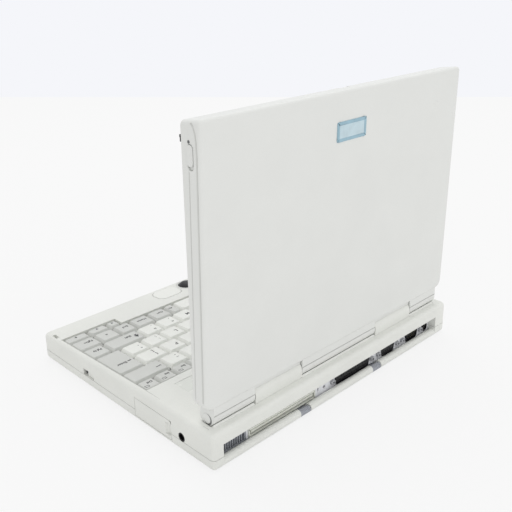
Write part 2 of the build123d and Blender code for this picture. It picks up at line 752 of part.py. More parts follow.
def battery_cap():
    """End cap of the battery, flush with the side, with a scooped finger grip at its rear."""
    x0 = SIDE_X - CAP_THICK
    outline = Rectangle(CAP_Y1 - CAP_Y0, CAP_Z1 - CAP_Z0)
    corner = outline.vertices().sort_by(Axis.X)[-2:].sort_by(Axis.Y)[-1]
    outline = fillet(corner, 3.0)
    place = Plane.YZ.offset(x0) * Pos((CAP_Y0 + CAP_Y1) / 2, (CAP_Z0 + CAP_Z1) / 2, 0)
    cap = extrude(place * outline, CAP_THICK)
    scoop = Pos(SIDE_X + 2.6, CAP_Y1 - 2.4, (CAP_Z0 + CAP_Z1) / 2) * Cylinder(4.4, CAP_Z1 - CAP_Z0 - 5)
    return cap - scoop


def battery_rack():
    """Open rack on the floor that guides the battery."""
    x0 = PACK_X0 - 6
    x1 = SIDE_X - 5.6
    y0 = CAP_Y0 - RACK_WALL
    y1 = CAP_Y1 + RACK_WALL
    rack = block(x0, x1, y0, y1, FLOOR_Z, CAP_Z0)
    rack += block(x0, x1, y0, CAP_Y0 + 0.1, FLOOR_Z, 12)
    rack += block(x0, x1, CAP_Y1 - 0.1, y1, FLOOR_Z, 12)
    return rack + block(x0, x0 + 2, y0, y1, FLOOR_Z, 15)


def speaker():
    """Round loudspeaker under its slots in the rear deck."""
    top = DECK_SLOPE_END[1] - WALL
    frame = rod_z(SPEAKER_X, SPEAKER_Y, top - 4.0, top, 13.0)
    frame -= Pos(SPEAKER_X, SPEAKER_Y, top) * Cone(6, 11, 3.0)
    return frame + rod_z(SPEAKER_X, SPEAKER_Y, top - 7.5, top - 3.9, 7.0)


def status_panel():
    """Small status display with its clear cover, sunk in the rear deck."""
    x0 = STATUS_X0 + 0.1
    x1 = STATUS_X1 - 0.1
    y0 = STATUS_Y0 + 0.1
    y1 = STATUS_Y1 - 0.1
    return block(x0, x1, y0, y1, STATUS_FLOOR_Z, STATUS_FLOOR_Z + 1.15)


def power_button():
    """Round power button in the rear deck, with its switch leg."""
    z = 27.0
    cap = rod_z(POWER_X, POWER_Y, z - 3.4, z, POWER_R)
    cap = fillet(cap.edges().sort_by(Axis.Z)[-1], 0.6)
    return cap + rod_z(POWER_X, POWER_Y, 13.5, z - 3.0, 1.5)


# Rear connectors

def subd_outline(width, height, gap=0.0):
    """D-shaped connector outline, wider at the top, in the XZ plane."""
    slant = (height + 2 * gap) * math.tan(math.radians(10))
    half_w = width / 2 + gap
    half_h = height / 2 + gap
    points = [(-half_w, half_h), (half_w, half_h), (half_w - slant, -half_h), (-half_w + slant, -half_h)]
    face = make_face(Polyline(*points, close=True))
    return fillet(face.vertices(), 2.0)


def subd_prism(centre_x, width, height, y0, y1, gap=0.0):
    """Solid with the D-shaped outline, between two Y planes."""
    face = Plane.XZ.offset(-y1) * Pos(centre_x, PORT_Z, 0) * subd_outline(width, height, gap)
    return extrude(face, y1 - y0)


def contact_grid(rows, pitch, row_pitch):
    """Contact positions about a connector's middle: one count for each row from the top."""
    places = []
    for index, count in enumerate(rows):
        z = (len(rows) - 1) * row_pitch / 2 - index * row_pitch
        shift = pitch / 2 if len(rows) == 3 and index == 1 else 0
        for step in range(count):
            places.append(((step - (count - 1) / 2) * pitch + shift, z))
    return places


def subd_ports():
    """Middle and shell width of each D-shaped port."""
    return [(PARALLEL_X, SUBD_WIDE), (VIDEO_X, SUBD_NARROW), (SERIAL_X, SUBD_NARROW)]


def port_body(centre_x, width, flange_w, spacing):
    """Part of a D-shaped port behind the plate: flange with screw holes, and its body on the board."""
    y1 = PLATE_Y - PLATE_THICK
    y0 = y1 - FLANGE_THICK
    half = flange_w / 2
    z0 = PORT_Z - FLANGE_HALF_H
    flange = block(centre_x - half, centre_x + half, y0, y1, z0, PORT_Z + FLANGE_HALF_H)
    for side in (-1, 1):
        flange -= rod_y(centre_x + side * spacing / 2, y0 - 1, y1 + 1, PORT_Z, SCREW_HOLE_R)
    half = width / 2
    return flange + block(centre_x - half, centre_x + half, y1 - 11, y0, PORT_Z - 3.1, PORT_Z + 5.0)


def socket_port(centre_x, width, flange_w, spacing, places, hole_r):
    """Female D-shaped connector: flange, body and a face with contact holes."""
    face_y = PLATE_Y + PORT_PROUD
    port = subd_prism(centre_x, width, SUBD_H, PLATE_Y - PLATE_THICK - FLANGE_THICK, face_y)
    port += port_body(centre_x, width, flange_w, spacing)
    holes = [rod_y(centre_x + x, face_y - 2.0, face_y + 1, PORT_Z + z, hole_r) for x, z in places]
    return port - holes


def parallel_port():
    """Wide two-row socket."""
    places = contact_grid((13, 12), 2.77, 2.84)
    return socket_port(PARALLEL_X, SUBD_WIDE, FLANGE_WIDE, PARALLEL_SCREWS, places, 0.5)


def video_port():
    """Three-row display socket."""
    places = contact_grid((5, 5, 5), 2.29, 1.98)
    return socket_port(VIDEO_X, SUBD_NARROW, FLANGE_NARROW, SMALL_PORT_SCREWS, places, 0.45)


def serial_port():
    """Two-row plug with its metal shroud and standing pins."""
    face_y = PLATE_Y + PORT_PROUD
    floor_y = PLATE_Y - PLATE_THICK
    shroud = subd_prism(SERIAL_X, SUBD_NARROW, SUBD_H, floor_y - FLANGE_THICK, face_y)
    shroud -= subd_prism(SERIAL_X, SUBD_NARROW - 0.8, SUBD_H - 0.8, floor_y, face_y + 1)
    shroud += port_body(SERIAL_X, SUBD_NARROW, FLANGE_NARROW, SMALL_PORT_SCREWS)
    for x, z in contact_grid((5, 4), 2.77, 2.84):
        shroud += rod_y(SERIAL_X + x, floor_y - 0.4, face_y - 0.6, PORT_Z + z, 0.5)
    return shroud


def keyboard_port():
    """Round six-way socket for an outside keyboard or mouse."""
    x = KEYBOARD_PORT_X
    z = KEYBOARD_PORT_Z
    port = rod_y(x, PLATE_Y - 8, PLATE_Y + 0.8, z, KEYBOARD_PORT_R)
    port -= rod_y(x, PLATE_Y - 2, PLATE_Y + 2, z, KEYBOARD_PORT_R - 0.7)
    return port + rod_y(x, PLATE_Y - 3, PLATE_Y + 0.3, z, KEYBOARD_PORT_R - 1.2)


def jackscrew_places():
    """Middle of each jackscrew along the rear."""
    places = []
    for centre, spacing in port_screws():
        places += [centre - spacing / 2, centre + spacing / 2]
    return places


def port_screws():
    """Middle and spacing of each jackscrew pair."""
    return [(PARALLEL_X, PARALLEL_SCREWS), (VIDEO_X, SMALL_PORT_SCREWS), (SERIAL_X, SMALL_PORT_SCREWS)]


def jackscrews():
    """Hexagonal jackscrews with threaded bores, beside the three D-shaped ports."""
    screws = []
    for x in jackscrew_places():
        hexagon = Plane.XZ.offset(-PLATE_Y) * Pos(x, PORT_Z, 0) * RegularPolygon(2.75, 6)
        screw = extrude(hexagon, -SCREW_PROUD) + rod_y(x, PLATE_Y - 6, PLATE_Y, PORT_Z, SCREW_HOLE_R - 0.1)
        screws.append(screw - rod_y(x, PLATE_Y - 1, PLATE_Y + 6, PORT_Z, SCREW_BORE_R))
    return solids(screws)


def docking_connector():
    """Long docking connector: a slotted insulating block behind the rear lip."""
    body = block(DOCK_X0, DOCK_X1, PLATE_Y - 8, PLATE_Y + 0.6, DOCK_Z0, DOCK_Z1)
    z0 = DOCK_Z0 + 2.1
    z1 = DOCK_Z1 - 1.6
    slot = block(DOCK_X0 + 3, DOCK_X1 - 3, PLATE_Y - 4, PLATE_Y + 1, z0, z1)
    tongue = block(DOCK_X0 + 4, DOCK_X1 - 4, PLATE_Y - 4.5, PLATE_Y - 0.2, z0 + 0.8, z1 - 0.8)
    return body - slot + tongue


def vent_grille():
    """Slatted air outlet at the right end of the rear bay."""
    x0 = VENT_X0 + VENT_WALL
    x1 = VENT_X1 - VENT_WALL
    frame = block(VENT_X0, VENT_X1, PLATE_Y - 3.2, PLATE_Y - 0.2, VENT_Z0, VENT_Z1)
    frame -= block(x0, x1, PLATE_Y - 4, PLATE_Y + 1, VENT_Z0 + VENT_WALL, VENT_Z1 - VENT_WALL)
    slats = 9
    pitch = (x1 - x0) / (slats + 1)
    for step in range(1, slats + 1):
        x = x0 + step * pitch
        frame += block(x - 0.45, x + 0.45, PLATE_Y - 3.0, PLATE_Y - 0.6, VENT_Z0 + 0.6, VENT_Z1 - 0.6)
    return frame


def rear_plate():
    """Upright plate with the cut-outs for the rear connectors."""
    plate = block(BAY_LEFT_X, BAY_RIGHT_X, PLATE_Y - PLATE_THICK, PLATE_Y, FLOOR_Z, BAY_ROOF_Z)
    y0 = PLATE_Y - PLATE_THICK - 1
    y1 = PLATE_Y + 1
    cuts = [subd_prism(x, width, SUBD_H, y0, y1, 0.3) for x, width in subd_ports()]
    cuts.append(rod_y(KEYBOARD_PORT_X, y0, y1, KEYBOARD_PORT_Z, KEYBOARD_PORT_R + 0.1))
    cuts.append(block(DOCK_X0 - 0.2, DOCK_X1 + 0.2, y0, y1, DOCK_Z0 - 0.3, DOCK_Z1 + 0.2))
    cuts.append(block(VENT_X0 - 0.2, VENT_X1 + 0.2, y0, y1, VENT_Z0 - 0.2, VENT_Z1 + 0.2))
    cuts.append(rod_y(GUIDE_HOLE_X, y0, y1, GUIDE_HOLE_Z, 1.3))
    cuts.append(block(GUIDE_SLOT_X - 0.7, GUIDE_SLOT_X + 0.7, y0, y1, DOCK_Z0 + 3.2, DOCK_Z1 + 0.7))
    cuts += [rod_y(x, y0, y1, PORT_Z, SCREW_HOLE_R) for x in jackscrew_places()]
    half = FOOT_NOTCH_W / 2 + 1.8
    for centre in FOOT_CENTRES:
        cuts.append(block(centre - half, centre + half, y0, y1, 0, FOOT_ROOF + 0.1))
    return plate - cuts


def power_jack():
    """Round direct-current inlet with its centre pin."""
    jack = rod_x(SIDE_X - 3, SIDE_X - 0.1, JACK_Y, JACK_Z, 3.1)
    jack += block(SIDE_X - 14, SIDE_X - 5, JACK_Y - 4.5, JACK_Y + 4.5, JACK_Z - 5.0, JACK_Z + 5.0)
    jack += rod_x(SIDE_X - 6, SIDE_X - 2, JACK_Y, JACK_Z, 3.1)
    jack -= rod_x(SIDE_X - 10, SIDE_X + 1, JACK_Y, JACK_Z, 2.4)
    return jack + rod_x(SIDE_X - 11, SIDE_X - 1.5, JACK_Y, JACK_Z, 0.8)


def tilt_foot(centre):
    """Fold-out foot: ribbed knuckle at the rear lip, side pins and a leg folded under the base."""
    half = FOOT_NOTCH_W / 2 - 0.4
    y0 = LIP_Y - FOOT_LEG_LENGTH + 0.8
    leg = block(centre - half, centre + half, y0, FOOT_PIVOT_Y, UNDERSIDE_Z + 0.4, FOOT_PIVOT_Z)
    leg = fillet([edge for edge in leg.edges() if edge.center().Y < y0 + 0.1], 0.8)
    rib = half - 1.8
    leg -= block(centre - rib, centre + rib, y0 + 4, FOOT_PIVOT_Y - 5, UNDERSIDE_Z + 1.8, FOOT_PIVOT_Z + 1)
    foot = leg + rod_x(centre - half, centre + half, FOOT_PIVOT_Y, FOOT_PIVOT_Z, KNUCKLE_R)
    for step in range(5):
        angle = math.radians(-15 + step * 30)
        y = FOOT_PIVOT_Y + math.cos(angle) * KNUCKLE_R
        z = FOOT_PIVOT_Z + math.sin(angle) * KNUCKLE_R
        foot -= rod_x(centre - half + 0.8, centre + half - 0.8, y, z, 0.4)
    return foot + rod_x(centre - half - 2.5, centre + half + 2.5, FOOT_PIVOT_Y, FOOT_PIVOT_Z, 1.2)


# Hinge

def hinge_brackets():
    """Steel brackets screwed under the deck, each with the pin that the lid turns on."""
    brackets = []
    for sign in (-1, 1):
        x0, x1 = hump_span(sign)
        pin = rod_x(x0 - SLEEVE_L - 0.6, x1 + SLEEVE_L + 0.6, HINGE_Y, HINGE_Z, PIN_R)
        barrel = rod_x(x0 + 4, x1 - 4, HINGE_Y, HINGE_Z, 4.0)
        web = block(x0 + 4, x1 - 4, HINGE_Y - 3.0, HINGE_Y + 3.0, 22.5, HINGE_Z)
        foot = block(x0 - 4, x1 + 4, HINGE_Y - 8, HINGE_Y + 5.5, BRACKET_SEAT_Z - 1.6, BRACKET_SEAT_Z)
        brackets.append(pin + barrel + web + foot)
    return solids(brackets)


def hinge_arms():
    """Steel arms of the lid, each with two sleeves on the pin and a strap across the lid's foot."""
    arms = []
    for sign in (-1, 1):
        x0, x1 = hump_span(sign)
        arm = block(x0 - 7.4, x1 + 7.4, STRAP_Y, STRAP_BACK_Y, LID_BOTTOM_Z + 2.2, LID_BOTTOM_Z + 5.9)
        for start in (x0 - SLEEVE_L - 0.9, x1 + 0.9):
            sleeve = rod_x(start, start + SLEEVE_L, HINGE_Y, HINGE_Z, SLEEVE_R)
            neck = block(start, start + SLEEVE_L, STRAP_Y, STRAP_BACK_Y, HINGE_Z, LID_BOTTOM_Z + 3.3)
            bore = rod_x(start - 1, start + SLEEVE_L + 1, HINGE_Y, HINGE_Z, SLEEVE_BORE_R)
            arm += sleeve + neck - bore
        arms.append(arm - rod_x(x0 - 9, x1 + 9, HINGE_Y, HINGE_Z, SLEEVE_BORE_R))
    return solids(arms)


# Lid

def lid_block():
    """Closed outer form of the lid without its barrels."""
    outline = [
        (LID_FACE_Y, LID_BOTTOM_Z),
        (LID_FACE_Y, LID_TOP_FRONT_Z),
        (lid_back_y(LID_TOP_BACK_Z), LID_TOP_BACK_Z),
        (lid_back_y(LID_BOTTOM_Z), LID_BOTTOM_Z),
    ]
    body = side_prism(outline, -LID_X, LID_X)
    bottom = edges_where(body, lambda p: abs(p.X) > LID_X - 1 and p.Z < LID_BOTTOM_Z + 1)
    body = fillet(bottom, LID_BOTTOM_CORNER_R)
    top = edges_where(body, lambda p: abs(p.X) > LID_X - 1 and p.Z > LID_TOP_FRONT_Z)
    body = fillet(top, LID_TOP_CORNER_R)
    back = body.faces().sort_by(Axis.Y)[-1].edges()
    body = fillet(back, LID_BACK_R)
    front = body.faces().sort_by(Axis.Y)[0].edges()
    return fillet(front, LID_FACE_R)


def lid_barrel(x0, x1):
    """Turning barrel with the neck that joins it to the lid."""
    neck = [
        (LID_FACE_Y, HINGE_Z),
        (LID_FACE_Y, LID_BOTTOM_Z + 4),
        (HINGE_Y + BARREL_R, LID_BOTTOM_Z + 4),
        (HINGE_Y + BARREL_R, HINGE_Z),
    ]
    return side_prism(neck, x0, x1) + rod_x(x0, x1, HINGE_Y, HINGE_Z, BARREL_R)


def seam_half(behind):
    """Large block on one side of the lid's seam."""
    far = 120.0 if behind else 60.0
    low, high = 20.0, 240.0
    return side_prism([(seam_y(low), low), (far, low), (far, high), (seam_y(high), high)], -140, 140)


def lid_cavity():
    """Hollow inside the lid."""
    z0 = LID_BOTTOM_Z + LID_WALL
    z1 = LID_TOP_FRONT_Z - LID_WALL
    front = LID_FACE_Y + LID_WALL
    outline = [(front, z0), (front, z1), (lid_back_y(z1) - LID_WALL, z1), (lid_back_y(z0) - LID_WALL, z0)]
    x = LID_X - LID_WALL
    return side_prism(outline, -x, x)


def latch_cuts(sign):
    """Slots for the latch slider and its hook, through the lid's side and inner face."""
    side = sign * LID_X
    x0, x1 = sorted((side - sign * 2.6, side + sign * 2))
    low = LATCH_Z0 - LATCH_TRAVEL - 0.3
    outline = SlotOverall(LATCH_Z1 + 0.3 - low, LATCH_Y1 - LATCH_Y0 + 0.6, rotation=90)
    place = Plane.YZ.offset(x0) * Pos((LATCH_Y0 + LATCH_Y1) / 2, (LATCH_Z1 + 0.3 + low) / 2, 0)
    slider = extrude(place * outline, x1 - x0)
    hx = sign * HOOK_X
    hook_low = HOOK_Z0 - LATCH_TRAVEL - 0.4
    hook = block(hx - 1.4, hx + 1.4, LID_FACE_Y - 1, SEAM_REF[0] + 2, hook_low, HOOK_Z1 + 0.4)
    return slider + hook


def sleeve_pockets():
    """Pockets in the barrels for the hinge sleeves, the pins and the necks of the arms."""
    cuts = []
    for sign in (-1, 1):
        x0, x1 = hump_span(sign)
        cuts.append(rod_x(x0 - SLEEVE_L - 1.2, x1 + SLEEVE_L + 1.2, HINGE_Y, HINGE_Z, SLEEVE_R + 0.1))
        for start in (x0 - SLEEVE_L - 0.9, x1 + 0.9):
            end = start + SLEEVE_L
            cuts.append(block(start - 0.1, end + 0.1, STRAP_Y - 0.1, STRAP_BACK_Y + 0.1, HINGE_Z, 50))
    return cuts


def hump_clearance():
    """Room in the lid's lower edge for the two fixed humps."""
    inner = HUMP_X0 - BARREL_GAP
    outer = HUMP_X1 + BARREL_GAP
    return [rod_x(x0, x1, HINGE_Y, HINGE_Z, TROUGH_R) for x0, x1 in ((-outer, -inner), (inner, outer))]


def lid_back_shell():
    """Rear cover of the lid with its rim and the three turning barrels."""
    shell = (lid_block() & seam_half(True)) - lid_cavity()
    for x0, x1 in lid_barrels():
        shell += lid_barrel(x0, x1) - lid_cavity()
    for cut in sleeve_pockets() + hump_clearance():
        shell -= cut
    for sign in (-1, 1):
        shell -= latch_cuts(sign)
    return shell - Pos(DIMPLE_X, lid_back_y(DIMPLE_Z) + 8.4, DIMPLE_Z) * Sphere(9.0)


def lid_bezel():
    """Front frame round the display, with a pocket that clears the trackball."""
    bezel = (lid_block() & seam_half(False)) - lid_cavity()
    pocket_z = HINGE_Z + HINGE_Y - BALL_Y
    pocket_y = LID_FACE_Y + BALL_POCKET_DEPTH
    boss = rod_y(BALL_X, LID_FACE_Y + 1, pocket_y + 1.2, pocket_z, BALL_POCKET_R + 1.2)
    bezel += boss & block(-40, 40, 80, 100, 150, LID_TOP_FRONT_Z - 1)
    bezel -= rod_y(BALL_X, LID_FACE_Y - 1, pocket_y, pocket_z, BALL_POCKET_R)
    half = WINDOW_W / 2
    top = WINDOW_Z0 + WINDOW_H
    bezel -= block(-half, half, LID_FACE_Y - 1, LID_FACE_Y + LID_WALL + 1, WINDOW_Z0, top)
    for x0, x1 in lid_barrels():
        bezel -= lid_barrel(x0, x1)
    for cut in hump_clearance():
        bezel -= cut
    for sign in (-1, 1):
        bezel -= latch_cuts(sign)
    return bezel


def display_window():
    """Thin clear cover set in the bezel."""
    half = WINDOW_W / 2
    return block(-half, half, LID_FACE_Y + 1.0, LID_FACE_Y + 1.9, WINDOW_Z0, WINDOW_Z0 + WINDOW_H)


def display_panel():
    """Flat display module behind the window, with its side mounting ears."""
    half = WINDOW_W / 2 + 10
    front = LID_FACE_Y + LID_WALL + 0.2
    panel = block(-half, half, front, front + 5.6, WINDOW_Z0 - 6, WINDOW_Z0 + WINDOW_H + 4)
    for z in (70, 180):
        panel += block(-half - 7, half + 7, front + 1, front + 2, z - 5, z + 5)
    return panel


def inverter_board():
    """Narrow power board for the display's lamp, beside the panel."""
    x0 = WINDOW_W / 2 + 18
    face_y = 90.4
    board = block(x0, x0 + 10, face_y, face_y + 1.2, 70, 170)
    transformer = block(x0 + 1, x0 + 9, face_y - 2.7, face_y, 84, 100)
    coil = block(x0 + 2, x0 + 8, face_y - 2.0, face_y, 120, 150)
    return board + transformer + coil


def lid_bumpers():
    """Soft pads that keep the closed lid off the deck."""
    pads = []
    for sign in (-1, 1):
        pads.append(rod_y(sign * 100, LID_FACE_Y - 0.7, LID_FACE_Y, 217.0, 3.0))
    return solids(pads)


def lid_badge():
    """Plain coloured plate on the lid's back."""
    lean = math.degrees(math.atan(LID_BACK_LEAN))
    plate = RectangleRounded(BADGE_W, BADGE_H, 1.0)
    solid = extrude(Plane.XZ * plate, -0.5)
    return Pos(BADGE_X, lid_back_y(BADGE_Z), BADGE_Z) * Rot(-lean, 0, 0) * solid


def latch_button(sign):
    """Slider on the lid's side edge that works the hook."""
    inner = sign * (LID_X - LID_WALL - 0.3)
    outer = sign * (LID_X + LATCH_PROUD)
    x0, x1 = sorted((inner, outer))
    outline = SlotOverall(LATCH_Z1 - LATCH_Z0, LATCH_Y1 - LATCH_Y0, rotation=90)
    place = Plane.YZ.offset(x0) * Pos((LATCH_Y0 + LATCH_Y1) / 2, (LATCH_Z0 + LATCH_Z1) / 2, 0)
    return extrude(place * outline, x1 - x0)


def latch_hook(sign):
    """Hook and its inner bar, worked by the slider."""
    x0, x1 = sorted((sign * (HOOK_X - 1.0), sign * (HOOK_X + 1.0)))
    bar = block(x0, x1, SEAM_REF[0] + 2.4, LATCH_Y1 - 1, LATCH_Z0 + 1, HOOK_Z1)
    arm = block(x0, x1, HOOK_TIP_Y, SEAM_REF[0] + 2.4, HOOK_Z0, HOOK_Z1)
    lip = block(x0, x1, HOOK_TIP_Y, HOOK_TIP_Y + 1.0, HOOK_Z0, HOOK_Z1 + 0.8)
    return bar + arm + lip


def named_pieces():
    """Every separate piece of the computer under its own name."""
    pieces = {
        "lower_shell": lower_shell(),
        "upper_shell": upper_shell(),
        "rubber_feet": rubber_feet(),
        "case_screws": case_screws(),
        "rear_plate": rear_plate(),
        "main_board": main_board(),
        "heat_spreader": heat_spreader(),
        "hard_disk": hard_disk(),
        "card_cage": card_cage(),
        "speaker": speaker(),
        "status_panel": status_panel(),
        "keyboard_frame": keyboard_frame(),
        "trackball_board": trackball_board(),
        "trackball_cup": trackball_cup(),
        "trackball_ring": trackball_ring(),
        "parallel_port": parallel_port(),
        "video_port": video_port(),
        "serial_port": serial_port(),
        "keyboard_port": keyboard_port(),
        "jackscrews": jackscrews(),
        "docking_connector": docking_connector(),
        "vent_grille": vent_grille(),
        "power_jack": power_jack(),
        "hinge_brackets": hinge_brackets(),
        "hinge_arms": hinge_arms(),
        "lid_back_shell": lid_back_shell(),
        "lid_bezel": lid_bezel(),
        "display_panel": display_panel(),
        "display_window": display_window(),
        "inverter_board": inverter_board(),
        "lid_bumpers": lid_bumpers(),
        "lid_badge": lid_badge(),
        "battery_pack": battery_pack(),
        "battery_cap": battery_cap(),
        "card_door": card_door(),
        "eject_button": eject_button(),
        "power_button": power_button(),
        "trackball": trackball(),
        "roller_pitch": roller(0),
        "roller_roll": roller(90),
    }
    for side, sign in (("right", 1), ("left", -1)):
        pieces["mouse_button_" + side] = mouse_button(sign)
        pieces["latch_button_" + side] = latch_button(sign)
        pieces["latch_hook_" + side] = latch_hook(sign)
    for side, centre in zip(("left", "right"), FOOT_CENTRES):
        pieces["tilt_foot_" + side] = tilt_foot(centre)
    for row, keys in key_rows().items():
        pieces["keys_" + row] = solids([key_cap(*key) for key in keys])
    return pieces


def main():
    """Write each piece to its own file."""
    os.makedirs("parts", exist_ok=True)
    for name, piece in named_pieces().items():
        export_step(piece, "parts/" + name + ".step")


main()
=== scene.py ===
import json
import logging
import math
from contextlib import contextmanager
from dataclasses import dataclass, field
from enum import Enum
from typing import Callable, Iterator, Optional, Sequence

import bmesh
import bpy
from mathutils import Matrix, Vector


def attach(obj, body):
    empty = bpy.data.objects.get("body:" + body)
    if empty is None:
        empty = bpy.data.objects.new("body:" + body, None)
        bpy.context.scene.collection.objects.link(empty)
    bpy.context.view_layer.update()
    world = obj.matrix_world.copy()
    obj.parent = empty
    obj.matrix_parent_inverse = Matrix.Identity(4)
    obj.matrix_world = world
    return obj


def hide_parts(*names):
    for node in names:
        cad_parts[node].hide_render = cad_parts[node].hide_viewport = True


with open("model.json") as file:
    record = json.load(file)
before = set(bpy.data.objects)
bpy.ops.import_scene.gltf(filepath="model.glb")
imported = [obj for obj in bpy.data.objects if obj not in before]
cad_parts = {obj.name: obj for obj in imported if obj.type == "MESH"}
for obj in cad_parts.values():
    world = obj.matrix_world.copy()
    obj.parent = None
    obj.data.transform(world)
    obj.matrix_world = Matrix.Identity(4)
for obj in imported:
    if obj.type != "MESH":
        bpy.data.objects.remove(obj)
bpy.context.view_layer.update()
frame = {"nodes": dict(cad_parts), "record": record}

# Dressing of the notebook computer: its finishes, keys, legends, ports and studio.
# Lengths are written in millimetres and turned into Blender's metres where a mesh is made.

LOG = logging.getLogger("notebook")
MM = 0.001
PER_METRE = 1000.0  # millimetres in a metre
QUARTER = math.radians(90)
ACROSS = (0.0, QUARTER, 0.0)  # turns an upright rod to lie along X
REARWARD = (-QUARTER, 0.0, 0.0)  # turns an upright rod to look to the rear
X_AXIS, Y_AXIS, Z_AXIS = range(3)
UP = Vector((0.0, 0.0, 1.0))
DOWN = Vector((0.0, 0.0, -1.0))
BACK = Vector((0.0, 1.0, 0.0))
RIGHT = Vector((1.0, 0.0, 0.0))
SIDES = ((1, "right"), (-1, "left"))
BARRELS = ((-123.3, -87.7), (-41.3, 41.3), (87.7, 123.3))  # ends of the hinge barrels along X

# Least cosines between a direction and a face's normal, or a leaning edge
SQUARE_FACE = 0.999
SQUARE_ON = 0.99
LEANING = 0.7

# Slack of a test by place, in millimetres
TOUCH = 0.01

RIBBON_FLATNESS = 0.15  # thickness of a printed or sunk line, as a share of its width
NOISE_RANGE = (0.3, 0.7)  # where most values of Blender's noise lie
DISPLAY_WHITE = 255.0

Colour = tuple[float, float, float]
Point = tuple[float, float, float]
Span = tuple[float, float, float, float]
Box = tuple[Point, Point]
Socket = bpy.types.NodeSocket
FaceTest = Callable[[bmesh.types.BMFace], bool]
EdgeTest = Callable[[bmesh.types.BMEdge], bool]


def srgb(red: float, green: float, blue: float) -> tuple[float, float, float, float]:
    """Turn display values from 0 to 255 into a linear colour.

    Args:
        red: Red display value.
        green: Green display value.
        blue: Blue display value.

    Returns:
        Linear red, green, blue and an alpha of one.
    """
    def linear(value: float) -> float:
        """Undo the display curve of one channel.

        Args:
            value: Its display value.

        Returns:
            The linear value.
        """
        share = value / DISPLAY_WHITE
        if share <= 0.04045:
            return share / 12.92
        return ((share + 0.055) / 1.055) ** 2.4
    return (linear(red), linear(green), linear(blue), 1.0)


def scaled(colour: Colour, share: float) -> tuple[float, float, float, float]:
    """Lighten or darken a display colour by a share of its value.

    Args:
        colour: Display values from 0 to 255.
        share: Factor on each value.

    Returns:
        The linear colour.
    """
    return srgb(*(min(DISPLAY_WHITE, value * share) for value in colour))


# Bench work: operators on a piece, with faces and edges picked in code


def clear_selection() -> None:
    """Deselect every object."""
    bpy.ops.object.select_all(action="DESELECT")


def make_active(piece: bpy.types.Object) -> None:
    """Select one piece alone and make it active.

    Args:
        piece: The piece.
    """
    clear_selection()
    piece.select_set(True)
    bpy.context.view_layer.objects.active = piece


@contextmanager
def editing(piece: bpy.types.Object) -> Iterator[None]:
    """Hold a piece in edit mode.

    Args:
        piece: The mesh object to edit.

    Yields:
        Nothing; the edit operators work on the piece meanwhile.
    """
    make_active(piece)
    bpy.ops.object.mode_set(mode="EDIT")
    try:
        yield
    finally:
        bpy.ops.object.mode_set(mode="OBJECT")


def pick_faces(piece: bpy.types.Object, test: FaceTest) -> None:
    """Select only the faces that pass a test, in edit mode.

    Args:
        piece: The piece in edit mode.
        test: The face test.
    """
    bpy.ops.mesh.select_mode(type="FACE")
    bpy.ops.mesh.select_all(action="DESELECT")
    mesh = bmesh.from_edit_mesh(piece.data)
    for face in mesh.faces:
        if test(face):
            face.select_set(True)
    bmesh.update_edit_mesh(piece.data)


def pick_edges(piece: bpy.types.Object, test: EdgeTest) -> None:
    """Select only the edges that pass a test, in edit mode.

    Args:
        piece: The piece in edit mode.
        test: The edge test.
    """
    bpy.ops.mesh.select_mode(type="EDGE")
    bpy.ops.mesh.select_all(action="DESELECT")
    mesh = bmesh.from_edit_mesh(piece.data)
    for edge in mesh.edges:
        if test(edge):
            edge.select_set(True)
    bmesh.update_edit_mesh(piece.data)


def pick_all() -> None:
    """Select the whole mesh, in edit mode."""
    bpy.ops.mesh.select_all(action="SELECT")


def bevel(radius: float, segments: int) -> None:
    """Round what is picked by a radius in millimetres, in edit mode."""
    bpy.ops.mesh.bevel(offset=radius * MM, segments=segments, affect="EDGES")


def inset(width: float, rise: float = 0.0) -> None:
    """Inset the picked faces and raise or sink them, in millimetres, in edit mode."""
    bpy.ops.mesh.inset(thickness=width * MM, depth=rise * MM)


def push(x: float, y: float, z: float) -> None:
    """Extrude the picked faces by a step in millimetres, in edit mode."""
    bpy.ops.mesh.extrude_region_move(TRANSFORM_OT_translate={"value": (x * MM, y * MM, z * MM)})


def squeeze(factors: Sequence[float], pivot: Sequence[float]) -> None:
    """Resize what is picked about a pivot in millimetres, in edit mode."""
    bpy.ops.transform.resize(value=factors, center_override=[value * MM for value in pivot])


def facing(direction: Vector, share: float = SQUARE_ON) -> FaceTest:
    """Make a face test for one direction.

    Args:
        direction: The unit direction.
        share: Least cosine between the face's normal and it.

    Returns:
        The face test.
    """
    return lambda face: face.normal.dot(direction) > share


def all_above(axis: int, limit: float) -> EdgeTest:
    """Make an edge test for edges that lie wholly past a limit in millimetres on one axis."""
    return lambda edge: min(v.co[axis] for v in edge.verts) > limit * MM


def lying_at(places: dict[int, float], slack: float = TOUCH) -> EdgeTest:
    """Make an edge test for edges that lie at given places on some axes.

    Args:
        places: The place in millimetres for each axis that is tested.
        slack: How far off an end may be, in millimetres.

    Returns:
        The edge test.
    """
    return lambda edge: all(abs(v.co[axis] - place * MM) < slack * MM
                            for v in edge.verts for axis, place in places.items())


def along(direction: Vector, share: float = 0.9) -> EdgeTest:
    """Make an edge test for edges that run along a direction.

    Args:
        direction: The unit direction.
        share: Least cosine between the edge and it.

    Returns:
        The edge test.
    """
    def test(edge: bmesh.types.BMEdge) -> bool:
        """Compare the edge's run with the direction."""
        run = edge.verts[1].co - edge.verts[0].co
        return run.length > 0 and abs(run.normalized().dot(direction)) > share
    return test


def step_in(shrink: tuple[float, float], pivot: Sequence[float], rise: float) -> None:
    """Extrude the picked face straight up or down and draw it in towards a pivot, in edit mode.

    Args:
        shrink: Factors along X and Y.
        pivot: The pivot in millimetres.
        rise: How far the face moves along +Z, in millimetres.
    """
    push(0.0, 0.0, rise)
    squeeze((shrink[0], shrink[1], 1.0), pivot)


